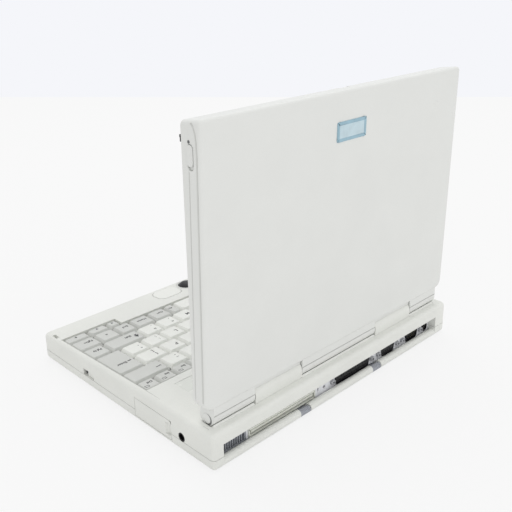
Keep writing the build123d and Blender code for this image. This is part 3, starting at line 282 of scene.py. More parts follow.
def round_edges(piece: bpy.types.Object, test: EdgeTest, radius: float, segments: int) -> None:
    """Round the edges of a piece that pass a test, by a radius in millimetres.

    Args:
        piece: The piece.
        test: The edge test.
        radius: Radius of the rounding in millimetres.
        segments: Number of its steps.
    """
    with editing(piece):
        pick_edges(piece, test)
        bevel(radius, segments)


def round_rim(piece: bpy.types.Object, direction: Vector, radius: float, segments: int) -> None:
    """Round the rim of the face that looks in a direction, by a radius in millimetres.

    Args:
        piece: The piece.
        direction: Where its face looks.
        radius: Radius of the rounding in millimetres.
        segments: Number of its steps.
    """
    with editing(piece):
        pick_faces(piece, facing(direction))
        bevel(radius, segments)


def hollow(piece: bpy.types.Object, direction: Vector, rim: float, depth: float,
           share: float = SQUARE_ON) -> None:
    """Sink a hollow into the face that looks in a direction.

    Args:
        piece: The piece to hollow.
        direction: Where its face looks.
        rim: Width of the rim that stays, in millimetres.
        depth: Depth of the hollow in millimetres.
        share: Least cosine between the face's normal and the direction.
    """
    with editing(piece):
        pick_faces(piece, facing(direction, share))
        inset(rim)
        push(*(-depth * value for value in direction))


def start_block(name: str, low: Sequence[float], high: Sequence[float]) -> bpy.types.Object:
    """Add a block between two corners, to be shaped further.

    Args:
        name: The piece's name.
        low: Lowest corner in millimetres.
        high: Highest corner in millimetres.

    Returns:
        The new object, at the origin.
    """
    clear_selection()
    middle = [(a + b) / 2 * MM for a, b in zip(low, high)]
    bpy.ops.mesh.primitive_cube_add(size=1.0, location=middle)
    piece = bpy.context.object
    piece.name = name
    piece.scale = [(b - a) * MM for a, b in zip(low, high)]
    settle(piece)
    return piece


def start_rod(name: str, middle: Sequence[float], radius: float, length: float,
              turn: Sequence[float], sides: int) -> bpy.types.Object:
    """Add a rod, to be shaped further.

    Args:
        name: The piece's name.
        middle: The rod's middle in millimetres.
        radius: Its radius in millimetres.
        length: Its length in millimetres.
        turn: Euler turn of its axis from +Z, in radians.
        sides: Number of sides.

    Returns:
        The new object, at the origin.
    """
    clear_selection()
    bpy.ops.mesh.primitive_cylinder_add(
        vertices=sides, radius=radius * MM, depth=length * MM,
        location=[value * MM for value in middle], rotation=turn)
    piece = bpy.context.object
    piece.name = name
    settle(piece)
    return piece


def start_ribbon(name: str, path: Sequence[Point], half_width: float,
                 flat_axis: int) -> bpy.types.Object:
    """Lay a thin ribbon along a path on a face that is square to an axis.

    Args:
        name: The piece's name.
        path: Its points in millimetres, all on the face.
        half_width: Half its width in millimetres.
        flat_axis: Number of the axis that it is flat along.

    Returns:
        The ribbon, standing a little proud of the face.
    """
    clear_selection()
    curve = bpy.data.curves.new(name, "CURVE")
    curve.dimensions = "3D"
    curve.bevel_depth = half_width * MM
    curve.bevel_resolution = 2
    curve.use_fill_caps = True
    line = curve.splines.new("POLY")
    line.points.add(len(path) - 1)
    for point, place in zip(line.points, path):
        point.co = (*(value * MM for value in place), 1.0)
    holder = bpy.data.objects.new(name, curve)
    bpy.context.scene.collection.objects.link(holder)
    make_active(holder)
    bpy.ops.object.convert(target="MESH")
    piece = bpy.context.object
    factors = [1.0, 1.0, 1.0]
    factors[flat_axis] = RIBBON_FLATNESS
    with editing(piece):
        pick_all()
        squeeze(factors, path[0])
    smooth(piece, 60.0)
    return piece


def settle(piece: bpy.types.Object) -> None:
    """Put a piece's place, turn and size into its mesh."""
    make_active(piece)
    bpy.ops.object.transform_apply(location=True, rotation=True, scale=True)


def smooth(piece: bpy.types.Object, degrees: float = 35.0) -> None:
    """Shade a piece smooth, apart from edges sharper than an angle."""
    make_active(piece)
    bpy.ops.object.shade_smooth_by_angle(angle=math.radians(degrees))


def add_modifier(piece: bpy.types.Object, kind: str, **settings: object) -> None:
    """Add a modifier to a piece and apply it.

    Args:
        piece: The mesh object.
        kind: Blender's name of the modifier type.
        settings: The modifier's values.
    """
    make_active(piece)
    modifier = piece.modifiers.new(kind.title(), kind)
    for key, value in settings.items():
        setattr(modifier, key, value)
    bpy.ops.object.modifier_apply(modifier=modifier.name)


def copy_piece(model: bpy.types.Object, name: str, place: Matrix) -> bpy.types.Object:
    """Copy a modelled piece with a mesh of its own.

    Args:
        model: The piece that was modelled once.
        name: The copy's name.
        place: Where the copy goes, applied to its mesh.

    Returns:
        The copy, at the origin.
    """
    piece = bpy.data.objects.new(name, model.data.copy())
    piece.data.transform(place)
    bpy.context.scene.collection.objects.link(piece)
    return piece


def join_pieces(parts: Sequence[bpy.types.Object], name: str) -> bpy.types.Object:
    """Join several parts into one piece.

    Args:
        parts: The objects to join.
        name: The joined piece's name.

    Returns:
        The joined object.
    """
    make_active(parts[0])
    for part in parts:
        part.select_set(True)
    if len(parts) > 1:
        bpy.ops.object.join()
    parts[0].name = name
    return parts[0]


def discard(piece: bpy.types.Object) -> None:
    """Remove a model that was only a pattern for copies.

    Args:
        piece: The model.
    """
    mesh = piece.data
    bpy.data.objects.remove(piece)
    bpy.data.meshes.remove(mesh)


def dress(piece: bpy.types.Object, body: str, slot: str, material: bpy.types.Material,
          *nodes: str) -> None:
    """Give a finished piece its body and material, and hide the nodes it stands for.

    Args:
        piece: The finished piece.
        body: The CAD body it rides on.
        slot: Not used.
        material: Its Blender material.
        nodes: CAD nodes that it replaces.
    """
    piece.data.materials.clear()
    piece.data.materials.append(material)
    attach(piece, body)
    if nodes:
        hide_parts(*nodes)
    LOG.info("%s rides on %s with %d faces", piece.name, body, len(piece.data.polygons))


# Finishes


class NodeSheet:
    """Lays shader nodes into one material."""

    def __init__(self, name: str) -> None:
        """Start a material with its shader and object coordinates."""
        self.material = bpy.data.materials.new(name)
        self.material.use_nodes = True
        self.tree = self.material.node_tree
        self.shader = self.tree.nodes["Principled BSDF"]
        self.place = self.tree.nodes.new("ShaderNodeTexCoord").outputs["Object"]

    def link(self, source: Socket, target: Socket) -> None:
        """Join an output to an input."""
        self.tree.links.new(source, target)

    def fixed(self, **values: object) -> None:
        """Set the shader's own sockets; underscores in a name stand for spaces."""
        for key, value in values.items():
            self.shader.inputs[key.replace("_", " ")].default_value = value

    def stretched(self, factors: Sequence[float]) -> Socket:
        """Scale the object coordinates by a factor for each axis.

        Args:
            factors: The factors along X, Y and Z.

        Returns:
            The scaled coordinates.
        """
        mapping = self.tree.nodes.new("ShaderNodeMapping")
        mapping.inputs["Scale"].default_value = factors
        self.link(self.place, mapping.inputs["Vector"])
        return mapping.outputs["Vector"]

    def noise(self, size: float, detail: float = 2.0,
              where: Optional[Socket] = None) -> Socket:
        """Add cloudy noise.

        Args:
            size: Size of its features in millimetres.
            detail: Number of finer octaves.
            where: Coordinates, or the plain object coordinates.

        Returns:
            The noise value.
        """
        node = self.tree.nodes.new("ShaderNodeTexNoise")
        node.inputs["Scale"].default_value = PER_METRE / size
        node.inputs["Detail"].default_value = detail
        self.link(where or self.place, node.inputs["Vector"])
        return node.outputs["Fac"]

    def mapped(self, value: Socket, source: tuple[float, float],
               target: tuple[float, float]) -> Socket:
        """Map a value from one range to another.

        Args:
            value: The value to map.
            source: Range that it is read in.
            target: Range that it is given.

        Returns:
            The mapped value.
        """
        node = self.tree.nodes.new("ShaderNodeMapRange")
        node.inputs["From Min"].default_value = source[0]
        node.inputs["From Max"].default_value = source[1]
        node.inputs["To Min"].default_value = target[0]
        node.inputs["To Max"].default_value = target[1]
        self.link(value, node.inputs["Value"])
        return node.outputs["Result"]

    def mix(self, factor: Socket, first: object, second: object) -> Socket:
        """Blend two colours, each a socket or a fixed colour.

        Args:
            factor: Share of the second colour.
            first: The first colour.
            second: The second colour.

        Returns:
            The blended colour.
        """
        node = self.tree.nodes.new("ShaderNodeMix")
        node.data_type = "RGBA"
        self.link(factor, node.inputs[0])
        for socket, value in ((node.inputs[6], first), (node.inputs[7], second)):
            if isinstance(value, Socket):
                self.link(value, socket)
            else:
                socket.default_value = value
        return node.outputs[2]

    def clouds(self, size: float, detail: float,
               source: tuple[float, float] = NOISE_RANGE) -> Socket:
        """Add noise, spread from 0 to 1 over the range that it is read in."""
        return self.mapped(self.noise(size, detail), source, (0.0, 1.0))

    def shades(self, factor: Socket, colour: Colour, shares: tuple[float, float]) -> Socket:
        """Blend between two shares of one colour."""
        return self.mix(factor, scaled(colour, shares[0]), scaled(colour, shares[1]))

    def paint(self, colour: Socket) -> None:
        """Wire a colour to the shader."""
        self.link(colour, self.shader.inputs["Base Color"])

    def gloss(self, value: Socket, target: tuple[float, float],
              source: tuple[float, float] = NOISE_RANGE) -> None:
        """Wire a value, mapped to a target range, to the shader's roughness."""
        self.link(self.mapped(value, source, target), self.shader.inputs["Roughness"])

    def crevice(self, reach: float) -> Socket:
        """Give the openness of the surface within a reach in millimetres.

        Args:
            reach: How far it looks, in millimetres.

        Returns:
            The openness, from 0 in a crevice to 1.
        """
        node = self.tree.nodes.new("ShaderNodeAmbientOcclusion")
        node.samples = 6
        node.inputs["Distance"].default_value = reach * MM
        return node.outputs["AO"]

    def bump(self, height: Socket, depth: float, round_edge: float = 0.0) -> None:
        """Wire a relief, and optionally softened edges, to the shader's normal.

        Args:
            height: Relief value from 0 to 1.
            depth: Its depth in millimetres.
            round_edge: Radius of the softened edges in millimetres.
        """
        node = self.tree.nodes.new("ShaderNodeBump")
        node.inputs["Strength"].default_value = 1.0
        node.inputs["Distance"].default_value = depth * MM
        self.link(height, node.inputs["Height"])
        if round_edge:
            edge = self.tree.nodes.new("ShaderNodeBevel")
            edge.samples = 4
            edge.inputs["Radius"].default_value = round_edge * MM
            self.link(edge.outputs["Normal"], node.inputs["Normal"])
        self.link(node.outputs["Normal"], self.shader.inputs["Normal"])


class Finish:
    """A finish that lays its nodes into a material."""

    def lay(self, sheet: NodeSheet) -> None:
        """Lay the finish's nodes; each finish has its own."""
        raise NotImplementedError

    def build(self, name: str) -> bpy.types.Material:
        """Make the Blender material.

        Args:
            name: The material's name.

        Returns:
            The material.
        """
        sheet = NodeSheet(name)
        self.lay(sheet)
        return sheet.material


@dataclass(frozen=True)
class MouldedPlastic(Finish):
    """Moulded plastic with a fine grain, faint clouding and painted shade that darkens its corners
    and crevices.
    """

    colour: Colour
    roughness: float = 0.5
    wear: tuple[float, float] = (-0.05, 0.06)
    wear_size: float = 9.0
    grain: float = 0.35
    grain_depth: float = 0.012
    drift: float = 0.012
    cloud_size: float = 34.0
    speck_size: float = 2.2
    speck_share: float = 0.35
    speck_shade: float = 2.5
    # Strength, reach and darker tone of the painted shade in corners and crevices
    painted_shade: float = 0.16
    painted_shade_reach: float = 1.6
    painted_shade_tone: float = 0.52
    round_edge: float = 0.25
    specular: float = 0.35

    def lay(self, sheet: NodeSheet) -> None:
        """Lay the finish's nodes.

        Args:
            sheet: The material's nodes.
        """
        cloud = sheet.clouds(self.cloud_size, 3.0)
        colour = sheet.shades(cloud, self.colour, (1.0 - self.drift, 1.0 + self.drift))
        speck = sheet.noise(self.grain * self.speck_size, 1.0)
        speck = sheet.mapped(speck, (0.35, 0.65), (0.0, self.speck_share))
        colour = sheet.mix(speck, colour, scaled(self.colour, 1.0 - self.drift * self.speck_shade))
        # Painted shade: the colour blends towards a darker copy where ambient occlusion finds a
        # corner or crevice
        if self.painted_shade:
            corner = sheet.mapped(sheet.crevice(self.painted_shade_reach), (0.15, 0.75), (self.painted_shade, 0.0))
            colour = sheet.mix(corner, colour, scaled(self.colour, self.painted_shade_tone))
        sheet.paint(colour)
        smooth_spots, worn_spots = (self.roughness + change for change in self.wear)
        sheet.gloss(sheet.noise(self.wear_size, 3.0), (smooth_spots, worn_spots))
        sheet.fixed(Specular_IOR_Level=self.specular)
        sheet.bump(sheet.noise(self.grain, 2.0), self.grain_depth, self.round_edge)


@dataclass(frozen=True)
class GlossyPlastic(Finish):
    """Polished plastic with faint smears and hairline scratches."""

    colour: Colour
    roughness: float = 0.12
    smear: float = 0.12
    smear_size: float = 3.5
    drift: float = 0.05
    cloud_size: float = 6.0
    coat: float = 0.4
    coat_roughness: float = 0.08
    scratches: Point = (1.0, 0.06, 1.0)
    scratch_size: float = 0.6
    scratch_depth: float = 0.002

    def lay(self, sheet: NodeSheet) -> None:
        """Lay the finish's nodes.

        Args:
            sheet: The material's nodes.
        """
        cloud = sheet.clouds(self.cloud_size, 4.0, (0.35, 0.65))
        sheet.paint(sheet.shades(cloud, self.colour, (1.0 - self.drift, 1.0 + self.drift)))
        smeared = (self.roughness, self.roughness + self.smear)
        sheet.gloss(sheet.noise(self.smear_size, 5.0), smeared, (0.3, 0.75))
        sheet.fixed(Coat_Weight=self.coat, Coat_Roughness=self.coat_roughness)
        scratch = sheet.noise(self.scratch_size, 1.0, sheet.stretched(self.scratches))
        sheet.bump(scratch, self.scratch_depth)


@dataclass(frozen=True)
class PlatedMetal(Finish):
    """Plated or cast metal with drawn lines and dull patches."""

    colour: Colour
    roughness: float = 0.3
    shares: tuple[float, float] = (0.93, 1.05)
    lines: Point = (1.0, 12.0, 12.0)
    line_size: float = 2.0
    line_depth: float = 0.006
    round_edge: float = 0.12
    dull: float = 0.16
    dull_size: float = 4.0
    metallic: float = 1.0

    def lay(self, sheet: NodeSheet) -> None:
        """Lay the finish's nodes.

        Args:
            sheet: The material's nodes.
        """
        drawn = sheet.noise(self.line_size, 3.0, sheet.stretched(self.lines))
        tone = sheet.mapped(drawn, NOISE_RANGE, (0.0, 1.0))
        sheet.paint(sheet.shades(tone, self.colour, self.shares))
        dulled = (self.roughness, self.roughness + self.dull)
        sheet.gloss(sheet.noise(self.dull_size, 3.0), dulled)
        sheet.fixed(Metallic=self.metallic)
        sheet.bump(drawn, self.line_depth, self.round_edge)


@dataclass(frozen=True)
class CircuitBoard(Finish):
    """Solder-masked board with copper tracks showing through."""

    mask: Colour = (28, 92, 56)
    track: Colour = (58, 132, 84)
    pitch: float = 1.6
    wander: float = 6.0
    wander_scale: float = 0.6
    relief: float = 0.03
    sheen: tuple[float, float] = (0.3, 0.42)
    sheen_size: float = 8.0

    def lay(self, sheet: NodeSheet) -> None:
        """Lay the finish's nodes.

        Args:
            sheet: The material's nodes.
        """
        wave = sheet.tree.nodes.new("ShaderNodeTexWave")
        wave.bands_direction = "DIAGONAL"
        wave.inputs["Scale"].default_value = 160.0 / self.pitch
        wave.inputs["Distortion"].default_value = self.wander
        wave.inputs["Detail Scale"].default_value = self.wander_scale
        sheet.link(sheet.place, wave.inputs["Vector"])
        tracks = sheet.mapped(wave.outputs["Fac"], (0.72, 0.8), (0.0, 1.0))
        sheet.paint(sheet.mix(tracks, srgb(*self.mask), srgb(*self.track)))
        sheet.gloss(sheet.noise(self.sheen_size, 2.0), self.sheen)
        sheet.bump(tracks, self.relief)


@dataclass(frozen=True)
class SoftRubber(Finish):
    """Matt rubber with a fine dimpled skin."""

    colour: Colour
    shares: tuple[float, float] = (0.9, 1.25)
    cloud_size: float = 5.0
    dimple: float = 0.5
    dimple_depth: float = 0.03
    dimple_sheen: tuple[float, float] = (0.7, 0.86)
    specular: float = 0.25

    def lay(self, sheet: NodeSheet) -> None:
        """Lay the finish's nodes.

        Args:
            sheet: The material's nodes.
        """
        cells = sheet.tree.nodes.new("ShaderNodeTexVoronoi")
        cells.inputs["Scale"].default_value = PER_METRE / self.dimple
        sheet.link(sheet.place, cells.inputs["Vector"])
        sheet.paint(sheet.shades(sheet.clouds(self.cloud_size, 3.0), self.colour, self.shares))
        sheet.gloss(cells.outputs["Distance"], self.dimple_sheen, (0.0, 0.6))
        sheet.fixed(Specular_IOR_Level=self.specular)
        sheet.bump(cells.outputs["Distance"], self.dimple_depth)


@dataclass(frozen=True)
class ClearCover(Finish):
    """Thin clear cover in front of the display."""

    tint: Colour = (196, 204, 206)
    shares: tuple[float, float] = (0.97, 1.03)
    cloud_size: float = 22.0
    sheen: tuple[float, float] = (0.06, 0.16)
    smear_size: float = 7.0
    opacity: float = 0.08
    bending: float = 1.49

    def lay(self, sheet: NodeSheet) -> None:
        """Lay the finish's nodes.

        Args:
            sheet: The material's nodes.
        """
        sheet.paint(sheet.shades(sheet.clouds(self.cloud_size, 3.0), self.tint, self.shares))
        sheet.gloss(sheet.noise(self.smear_size, 3.0), self.sheen, (0.35, 0.7))
        sheet.fixed(Alpha=self.opacity, IOR=self.bending)


@dataclass(frozen=True)
class LiquidCrystal(Finish):
    """Switched-off liquid crystal with a faint grid of picture cells."""

    colour: Colour = (96, 108, 104)
    cell: float = 0.6
    cell_gap: float = 0.04
    contrast: float = 0.04
    cloud_size: float = 60.0
    cloud_share: float = 0.35
    sheen: tuple[float, float] = (0.22, 0.3)
    sheen_size: float = 12.0

    def grid(self, sheet: NodeSheet) -> Socket:
        """Lay the grid of picture cells on the upright panel.

        Args:
            sheet: The material's nodes.

        Returns:
            The grid's colour.
        """
        grid = sheet.tree.nodes.new("ShaderNodeTexBrick")
        grid.offset = 0.0
        grid.inputs["Color1"].default_value = scaled(self.colour, 1.0)
        grid.inputs["Color2"].default_value = scaled(self.colour, 1.0 + self.contrast / 3)
        grid.inputs["Mortar"].default_value = scaled(self.colour, 1.0 - self.contrast)
        grid.inputs["Scale"].default_value = PER_METRE / self.cell
        grid.inputs["Mortar Size"].default_value = self.cell_gap
        grid.inputs["Brick Width"].default_value = 1.0
        grid.inputs["Row Height"].default_value = 1.0
        turn = sheet.tree.nodes.new("ShaderNodeMapping")
        turn.inputs["Rotation"].default_value = (QUARTER, 0.0, 0.0)
        sheet.link(sheet.place, turn.inputs["Vector"])
        sheet.link(turn.outputs["Vector"], grid.inputs["Vector"])
        return grid.outputs["Color"]

    def lay(self, sheet: NodeSheet) -> None:
        """Lay the finish's nodes.

        Args:
            sheet: The material's nodes.
        """
        cells = self.grid(sheet)
        cloud = sheet.noise(self.cloud_size, 2.0)
        cloud = sheet.mapped(cloud, NOISE_RANGE, (0.0, self.cloud_share))
        sheet.paint(sheet.mix(cloud, cells, scaled(self.colour, 1.0 + self.contrast)))
        sheet.gloss(sheet.noise(self.sheen_size, 2.0), self.sheen)


@dataclass(frozen=True)
class PadPrint(Finish):
    """Printed ink, slightly uneven and a little thin at its edges."""

    colour: Colour
    thin: float = 0.25
    wear_size: float = 0.5
    sheen: tuple[float, float] = (0.42, 0.56)

    def lay(self, sheet: NodeSheet) -> None:
        """Lay the finish's nodes.

        Args:
            sheet: The material's nodes.
        """
        worn = sheet.clouds(self.wear_size, 3.0, (0.35, 0.7))
        sheet.paint(sheet.shades(worn, self.colour, (1.0, 1.0 + self.thin)))
        sheet.gloss(worn, self.sheen, (0.0, 1.0))


KEY_PLASTIC = {"roughness": 0.42, "grain": 0.25, "grain_depth": 0.004, "painted_shade": 0.0,
               "round_edge": 0.0}

FINISHES: dict[str, Finish] = {
    "shell_light": MouldedPlastic((229, 230, 225)),
    "shell_lid": MouldedPlastic((226, 227, 224), drift=0.006),
    "key_light": MouldedPlastic((235, 236, 231), **KEY_PLASTIC),
    "key_grey": MouldedPlastic((208, 209, 205), **KEY_PLASTIC),
    "black_plastic": MouldedPlastic((20, 20, 23), roughness=0.4, drift=0.08, painted_shade=0.0),
    "grey_plastic": MouldedPlastic((166, 169, 176), roughness=0.5, drift=0.03, grain_depth=0.008),
    "dark_plastic": MouldedPlastic((76, 77, 80), roughness=0.5, drift=0.04, painted_shade=0.0),
    "ivory_plastic": MouldedPlastic((226, 228, 219), roughness=0.45, grain_depth=0.004),
    "ball_black": GlossyPlastic((13, 13, 14), roughness=0.34, coat=0.0),
    "badge_blue": GlossyPlastic((148, 182, 197), roughness=0.3, coat=0.2, drift=0.03),
    "steel": PlatedMetal((196, 196, 196)),
    "tin_sheet": PlatedMetal((204, 206, 206), roughness=0.34),
    "aluminium": PlatedMetal((206, 208, 210), roughness=0.42, lines=(3.0, 3.0, 3.0)),
    "board_green": CircuitBoard(),
    "rubber": SoftRubber((58, 58, 60)),
    "glass": ClearCover(),
    "screen_dark": LiquidCrystal(),
    "display_pale": LiquidCrystal((222, 224, 218), contrast=0.03),
}

# Tones of single CAD nodes, each in place of its slot's finish
NODE_TONES: dict[str, Finish] = {
    "keyboard_frame": MouldedPlastic((222, 223, 218), roughness=0.6, painted_shade=0.0),
    "rear_plate": MouldedPlastic((238, 239, 243), painted_shade=0.0),
    "video_port": MouldedPlastic((24, 24, 27), roughness=0.4, painted_shade=0.0),
    "keyboard_port": MouldedPlastic((16, 16, 18), roughness=0.4, painted_shade=0.0),
}

# Tones of modelled pieces, each in place of its slot's finish
PIECE_TONES: dict[str, Finish] = {
    "legend_ink": PadPrint((30, 32, 34)),
    "sign_ink": PadPrint((84, 86, 86)),
    "badge_panel_blue": GlossyPlastic((192, 212, 220), roughness=0.35, coat=0.1, drift=0.02),
    # Colour of the joint lines, and also painted shade on the lid's rounded back edges
    "lid_joint_and_shade_line": MouldedPlastic((208, 209, 205), roughness=0.6, painted_shade=0.0),
    # Painted shade along the step above the hinge barrels
    "lid_step_shade_tone": MouldedPlastic((192, 193, 189), roughness=0.6, painted_shade=0.0),
    "ring_shade": MouldedPlastic((120, 121, 119), painted_shade=0.0),
    "plug_shroud": PlatedMetal((70, 71, 74), roughness=0.45),
    "pin_gold": PlatedMetal((112, 108, 92), roughness=0.35),
    "bore_shade": PlatedMetal((48, 48, 50), roughness=0.5),
    "screw_nickel": PlatedMetal((172, 173, 177), roughness=0.45, metallic=0.3),
    "dock_shade": MouldedPlastic((58, 59, 53), painted_shade=0.0),
    "sweep_felt": MouldedPlastic((232, 233, 229), roughness=0.8, grain=0.6, grain_depth=0.03,
                                 painted_shade=0.0),
    "line_shade": MouldedPlastic((196, 197, 192), roughness=0.6, painted_shade=0.0),
    # Painted light: shell plastic made paler on the catch floors, which sit in shade
    "catch_painted_light": MouldedPlastic((244, 245, 242), painted_shade=0.0),
}


class FinishShelf:
    """Makes each finish once and hands it out by name."""

    def __init__(self) -> None:
        """Start with nothing made."""
        self.made: dict[str, bpy.types.Material] = {}

    def make_once(self, name: str, finish: Finish) -> bpy.types.Material:
        """Make a named finish, or give the one made before.

        Args:
            name: The material's name.
            finish: Its finish.

        Returns:
            The material.
        """
        if name not in self.made:
            self.made[name] = finish.build(name)
        return self.made[name]

    def take(self, slot: str) -> bpy.types.Material:
        """Give the material of a record slot."""
        return self.make_once(slot, FINISHES[slot])

    def tone(self, name: str) -> bpy.types.Material:
        """Give the material of a piece that has a tone of its own."""
        return self.make_once(name, PIECE_TONES[name])

    def for_node(self, node: str, slot: str) -> bpy.types.Material:
        """Give a CAD node's material: its own tone, or its slot's finish.

        Args:
            node: The CAD node's name.
            slot: Its material slot.

        Returns:
            The material.
        """
        if node in NODE_TONES:
            return self.make_once(f"{node}_tone", NODE_TONES[node])
        return self.take(slot)


# Studio


@dataclass(frozen=True)
class SoftLamp:
    """Square soft lamp: its place and side in metres, and its power in watts."""

    name: str
    place: Point
    side: float
    power: float


@dataclass
class Studio:
    """Pale floor, soft light and the camera of the photograph."""

    focal: float = 745.2
    centre: tuple[float, float] = (252.7, 207.9)
    side: float = 512.0
    sensor: float = 36.0
    eye: Point = (379.93, 401.07, 307.15)
    right: Point = (-0.716, 0.69789, -0.01703)
    down: Point = (0.23593, 0.21895, -0.94678)
    clip: tuple[float, float] = (0.01, 20.0)
    floor_edge_v: float = 97.0
    floor_overhang: float = 900.0
    floor_reach: float = 6.0
    floor_glow: float = 0.86
    sky: float = 0.84
    backdrop: Colour = (245, 246, 250)
    floor_colour: Colour = (248, 248, 248)
    lamps: tuple[SoftLamp, ...] = (SoftLamp("top_lamp", (-0.5, -0.5, 1.5), 1.4, 6.0),
                                   SoftLamp("rear_lamp", (0.1, 1.3, 1.1), 1.0, 2.7))
    lamp_aim: Point = (0.0, 0.0, 0.08)

    def ray(self, u: float, v: float) -> Vector:
        """Direction from the eye through a pixel of the photograph.

        Args:
            u: The pixel's column.
            v: The pixel's row.

        Returns:
            The direction, not of unit length.
        """
        right = Vector(self.right).normalized()
        down = Vector(self.down).normalized()
        forward = right.cross(down).normalized()
        if forward.dot(Vector(self.eye)) > 0:
            forward.negate()
        across = (u - self.centre[0]) / self.focal
        below = (v - self.centre[1]) / self.focal
        return forward + right * across + down * below

    def on_floor(self, u: float, v: float) -> Vector:
        """Floor point seen at a pixel of the photograph, in metres.

        Args:
            u: The pixel's column.
            v: The pixel's row.

        Returns:
            The floor point.
        """
        eye = Vector(self.eye) * MM
        ray = self.ray(u, v)
        return eye - ray * (eye.z / ray.z)

    def place_camera(self) -> None:
        """Put the camera at the photograph's viewing point."""
        right = Vector(self.right).normalized()
        down = Vector(self.down).normalized()
        back = right.cross(-down).normalized()
        camera = bpy.data.cameras.new("photo_camera")
        camera.sensor_width = self.sensor
        camera.lens = self.focal / self.side * self.sensor
        camera.shift_x = (self.side / 2 - self.centre[0]) / self.side
        camera.shift_y = (self.centre[1] - self.side / 2) / self.side
        camera.clip_start, camera.clip_end = self.clip
        holder = bpy.data.objects.new("photo_camera", camera)
        turn = Matrix((right, -down, back)).transposed().to_4x4()
        holder.matrix_world = Matrix.Translation(Vector(self.eye) * MM) @ turn
        bpy.context.scene.collection.objects.link(holder)
        bpy.context.scene.camera = holder

    def lay_floor(self) -> None:
        """Lay the floor, ending at the level line behind the object."""
        left = self.on_floor(-self.floor_overhang, self.floor_edge_v)
        right = self.on_floor(self.side + self.floor_overhang, self.floor_edge_v)
        towards = Vector(self.eye).to_2d().to_3d().normalized() * self.floor_reach
        clear_selection()
        bpy.ops.mesh.primitive_plane_add(size=1.0)
        floor = bpy.context.object
        floor.name = "studio_floor"
        corners = (left, left + towards, right, right + towards)
        in_order = sorted(floor.data.vertices, key=lambda vertex: (vertex.co.x, vertex.co.y))
        for vertex, corner in zip(in_order, corners):
            vertex.co = corner
        floor.data.materials.append(self.floor_material())

    def shows_backdrop(self, tree: bpy.types.NodeTree) -> Socket:
        """Tell camera, glossy and transmission rays from the rays that light the object.

        Args:
            tree: Nodes of the material or the world.

        Returns:
            One for the rays that see the backdrop, and zero for the others.
        """
        path = tree.nodes.new("ShaderNodeLightPath")
        first = tree.nodes.new("ShaderNodeMath")
        first.operation = "MAXIMUM"
        tree.links.new(path.outputs["Is Camera Ray"], first.inputs[0])
        tree.links.new(path.outputs["Is Glossy Ray"], first.inputs[1])
        second = tree.nodes.new("ShaderNodeMath")
        second.operation = "MAXIMUM"
        tree.links.new(first.outputs[0], second.inputs[0])
        tree.links.new(path.outputs["Is Transmission Ray"], second.inputs[1])
        return second.outputs[0]

    def floor_material(self) -> bpy.types.Material:
        """Make a pale matt sheet that keeps a faint shadow.

        Returns:
            The floor's material.
        """
        material = bpy.data.materials.new("floor_sheet")
        material.use_nodes = True
        tree = material.node_tree
        paper = tree.nodes["Principled BSDF"]
        paper.inputs["Base Color"].default_value = srgb(*self.floor_colour)
        paper.inputs["Roughness"].default_value = 0.9
        paper.inputs["Specular IOR Level"].default_value = 0.0
        glow = tree.nodes.new("ShaderNodeEmission")
        glow.inputs["Color"].default_value = srgb(*self.floor_colour)
        glow.inputs["Strength"].default_value = 1.0
        share = tree.nodes.new("ShaderNodeMath")
        share.operation = "MULTIPLY"
        share.inputs[1].default_value = self.floor_glow
        tree.links.new(self.shows_backdrop(tree), share.inputs[0])
        blend = tree.nodes.new("ShaderNodeMixShader")
        tree.links.new(share.outputs[0], blend.inputs[0])
        tree.links.new(paper.outputs[0], blend.inputs[1])
        tree.links.new(glow.outputs[0], blend.inputs[2])
        tree.links.new(blend.outputs[0], tree.nodes["Material Output"].inputs["Surface"])
        return material

    def hang_sky(self) -> None:
        """Light the room evenly, and show the backdrop's colour behind the floor."""
        world = bpy.data.worlds.new("studio_room")
        bpy.context.scene.world = world
        world.use_nodes = True
        tree = world.node_tree
        even = tree.nodes["Background"]
        even.inputs["Color"].default_value = (1.0, 1.0, 1.0, 1.0)
        even.inputs["Strength"].default_value = self.sky
        shown = tree.nodes.new("ShaderNodeBackground")
        shown.inputs["Color"].default_value = srgb(*self.backdrop)
        shown.inputs["Strength"].default_value = 1.0
        blend = tree.nodes.new("ShaderNodeMixShader")
        tree.links.new(self.shows_backdrop(tree), blend.inputs[0])
        tree.links.new(even.outputs[0], blend.inputs[1])
        tree.links.new(shown.outputs[0], blend.inputs[2])
        tree.links.new(blend.outputs[0], tree.nodes["World Output"].inputs["Surface"])

    def hang_lamp(self, lamp: SoftLamp) -> None:
        """Hang one soft lamp that looks at the object.

        Args:
            lamp: The lamp.
        """
        light = bpy.data.lights.new(lamp.name, "AREA")
        light.shape = "SQUARE"
        light.size = lamp.side
        light.energy = lamp.power
        holder = bpy.data.objects.new(lamp.name, light)
        aim = Vector(self.lamp_aim) - Vector(lamp.place)
        turn = aim.to_track_quat("-Z", "Y").to_matrix().to_4x4()
        holder.matrix_world = Matrix.Translation(lamp.place) @ turn
        bpy.context.scene.collection.objects.link(holder)

    def build(self) -> None:
        """Set up the whole studio."""
        self.place_camera()
        self.lay_floor()
        self.hang_sky()
        for lamp in self.lamps:
            self.hang_lamp(lamp)
        bpy.context.scene.view_settings.view_transform = "Standard"
        LOG.info("studio is set up")


# Keyboard


class Tone(Enum):
    """Colour groups of the keys."""

    LIGHT = "key_light"
    GREY = "key_grey"


@dataclass(frozen=True)
class KeySpot:
    """One key: its outline on the deck plane, its colour group and its legend."""

    span: Span
    tone: Tone
    legend: str = ""
    upper: str = ""


@dataclass(frozen=True)
class ArrowSign:
    """Arrow with a shaft, placed from its key's left edge and middle line, and its word.

    The head is given by its place and size, the shaft by its two ends, its line and its
    thickness, and the word by its place and size.
    """

    way: str
    head: Point
    shaft: Span
    word: Optional[Point] = None


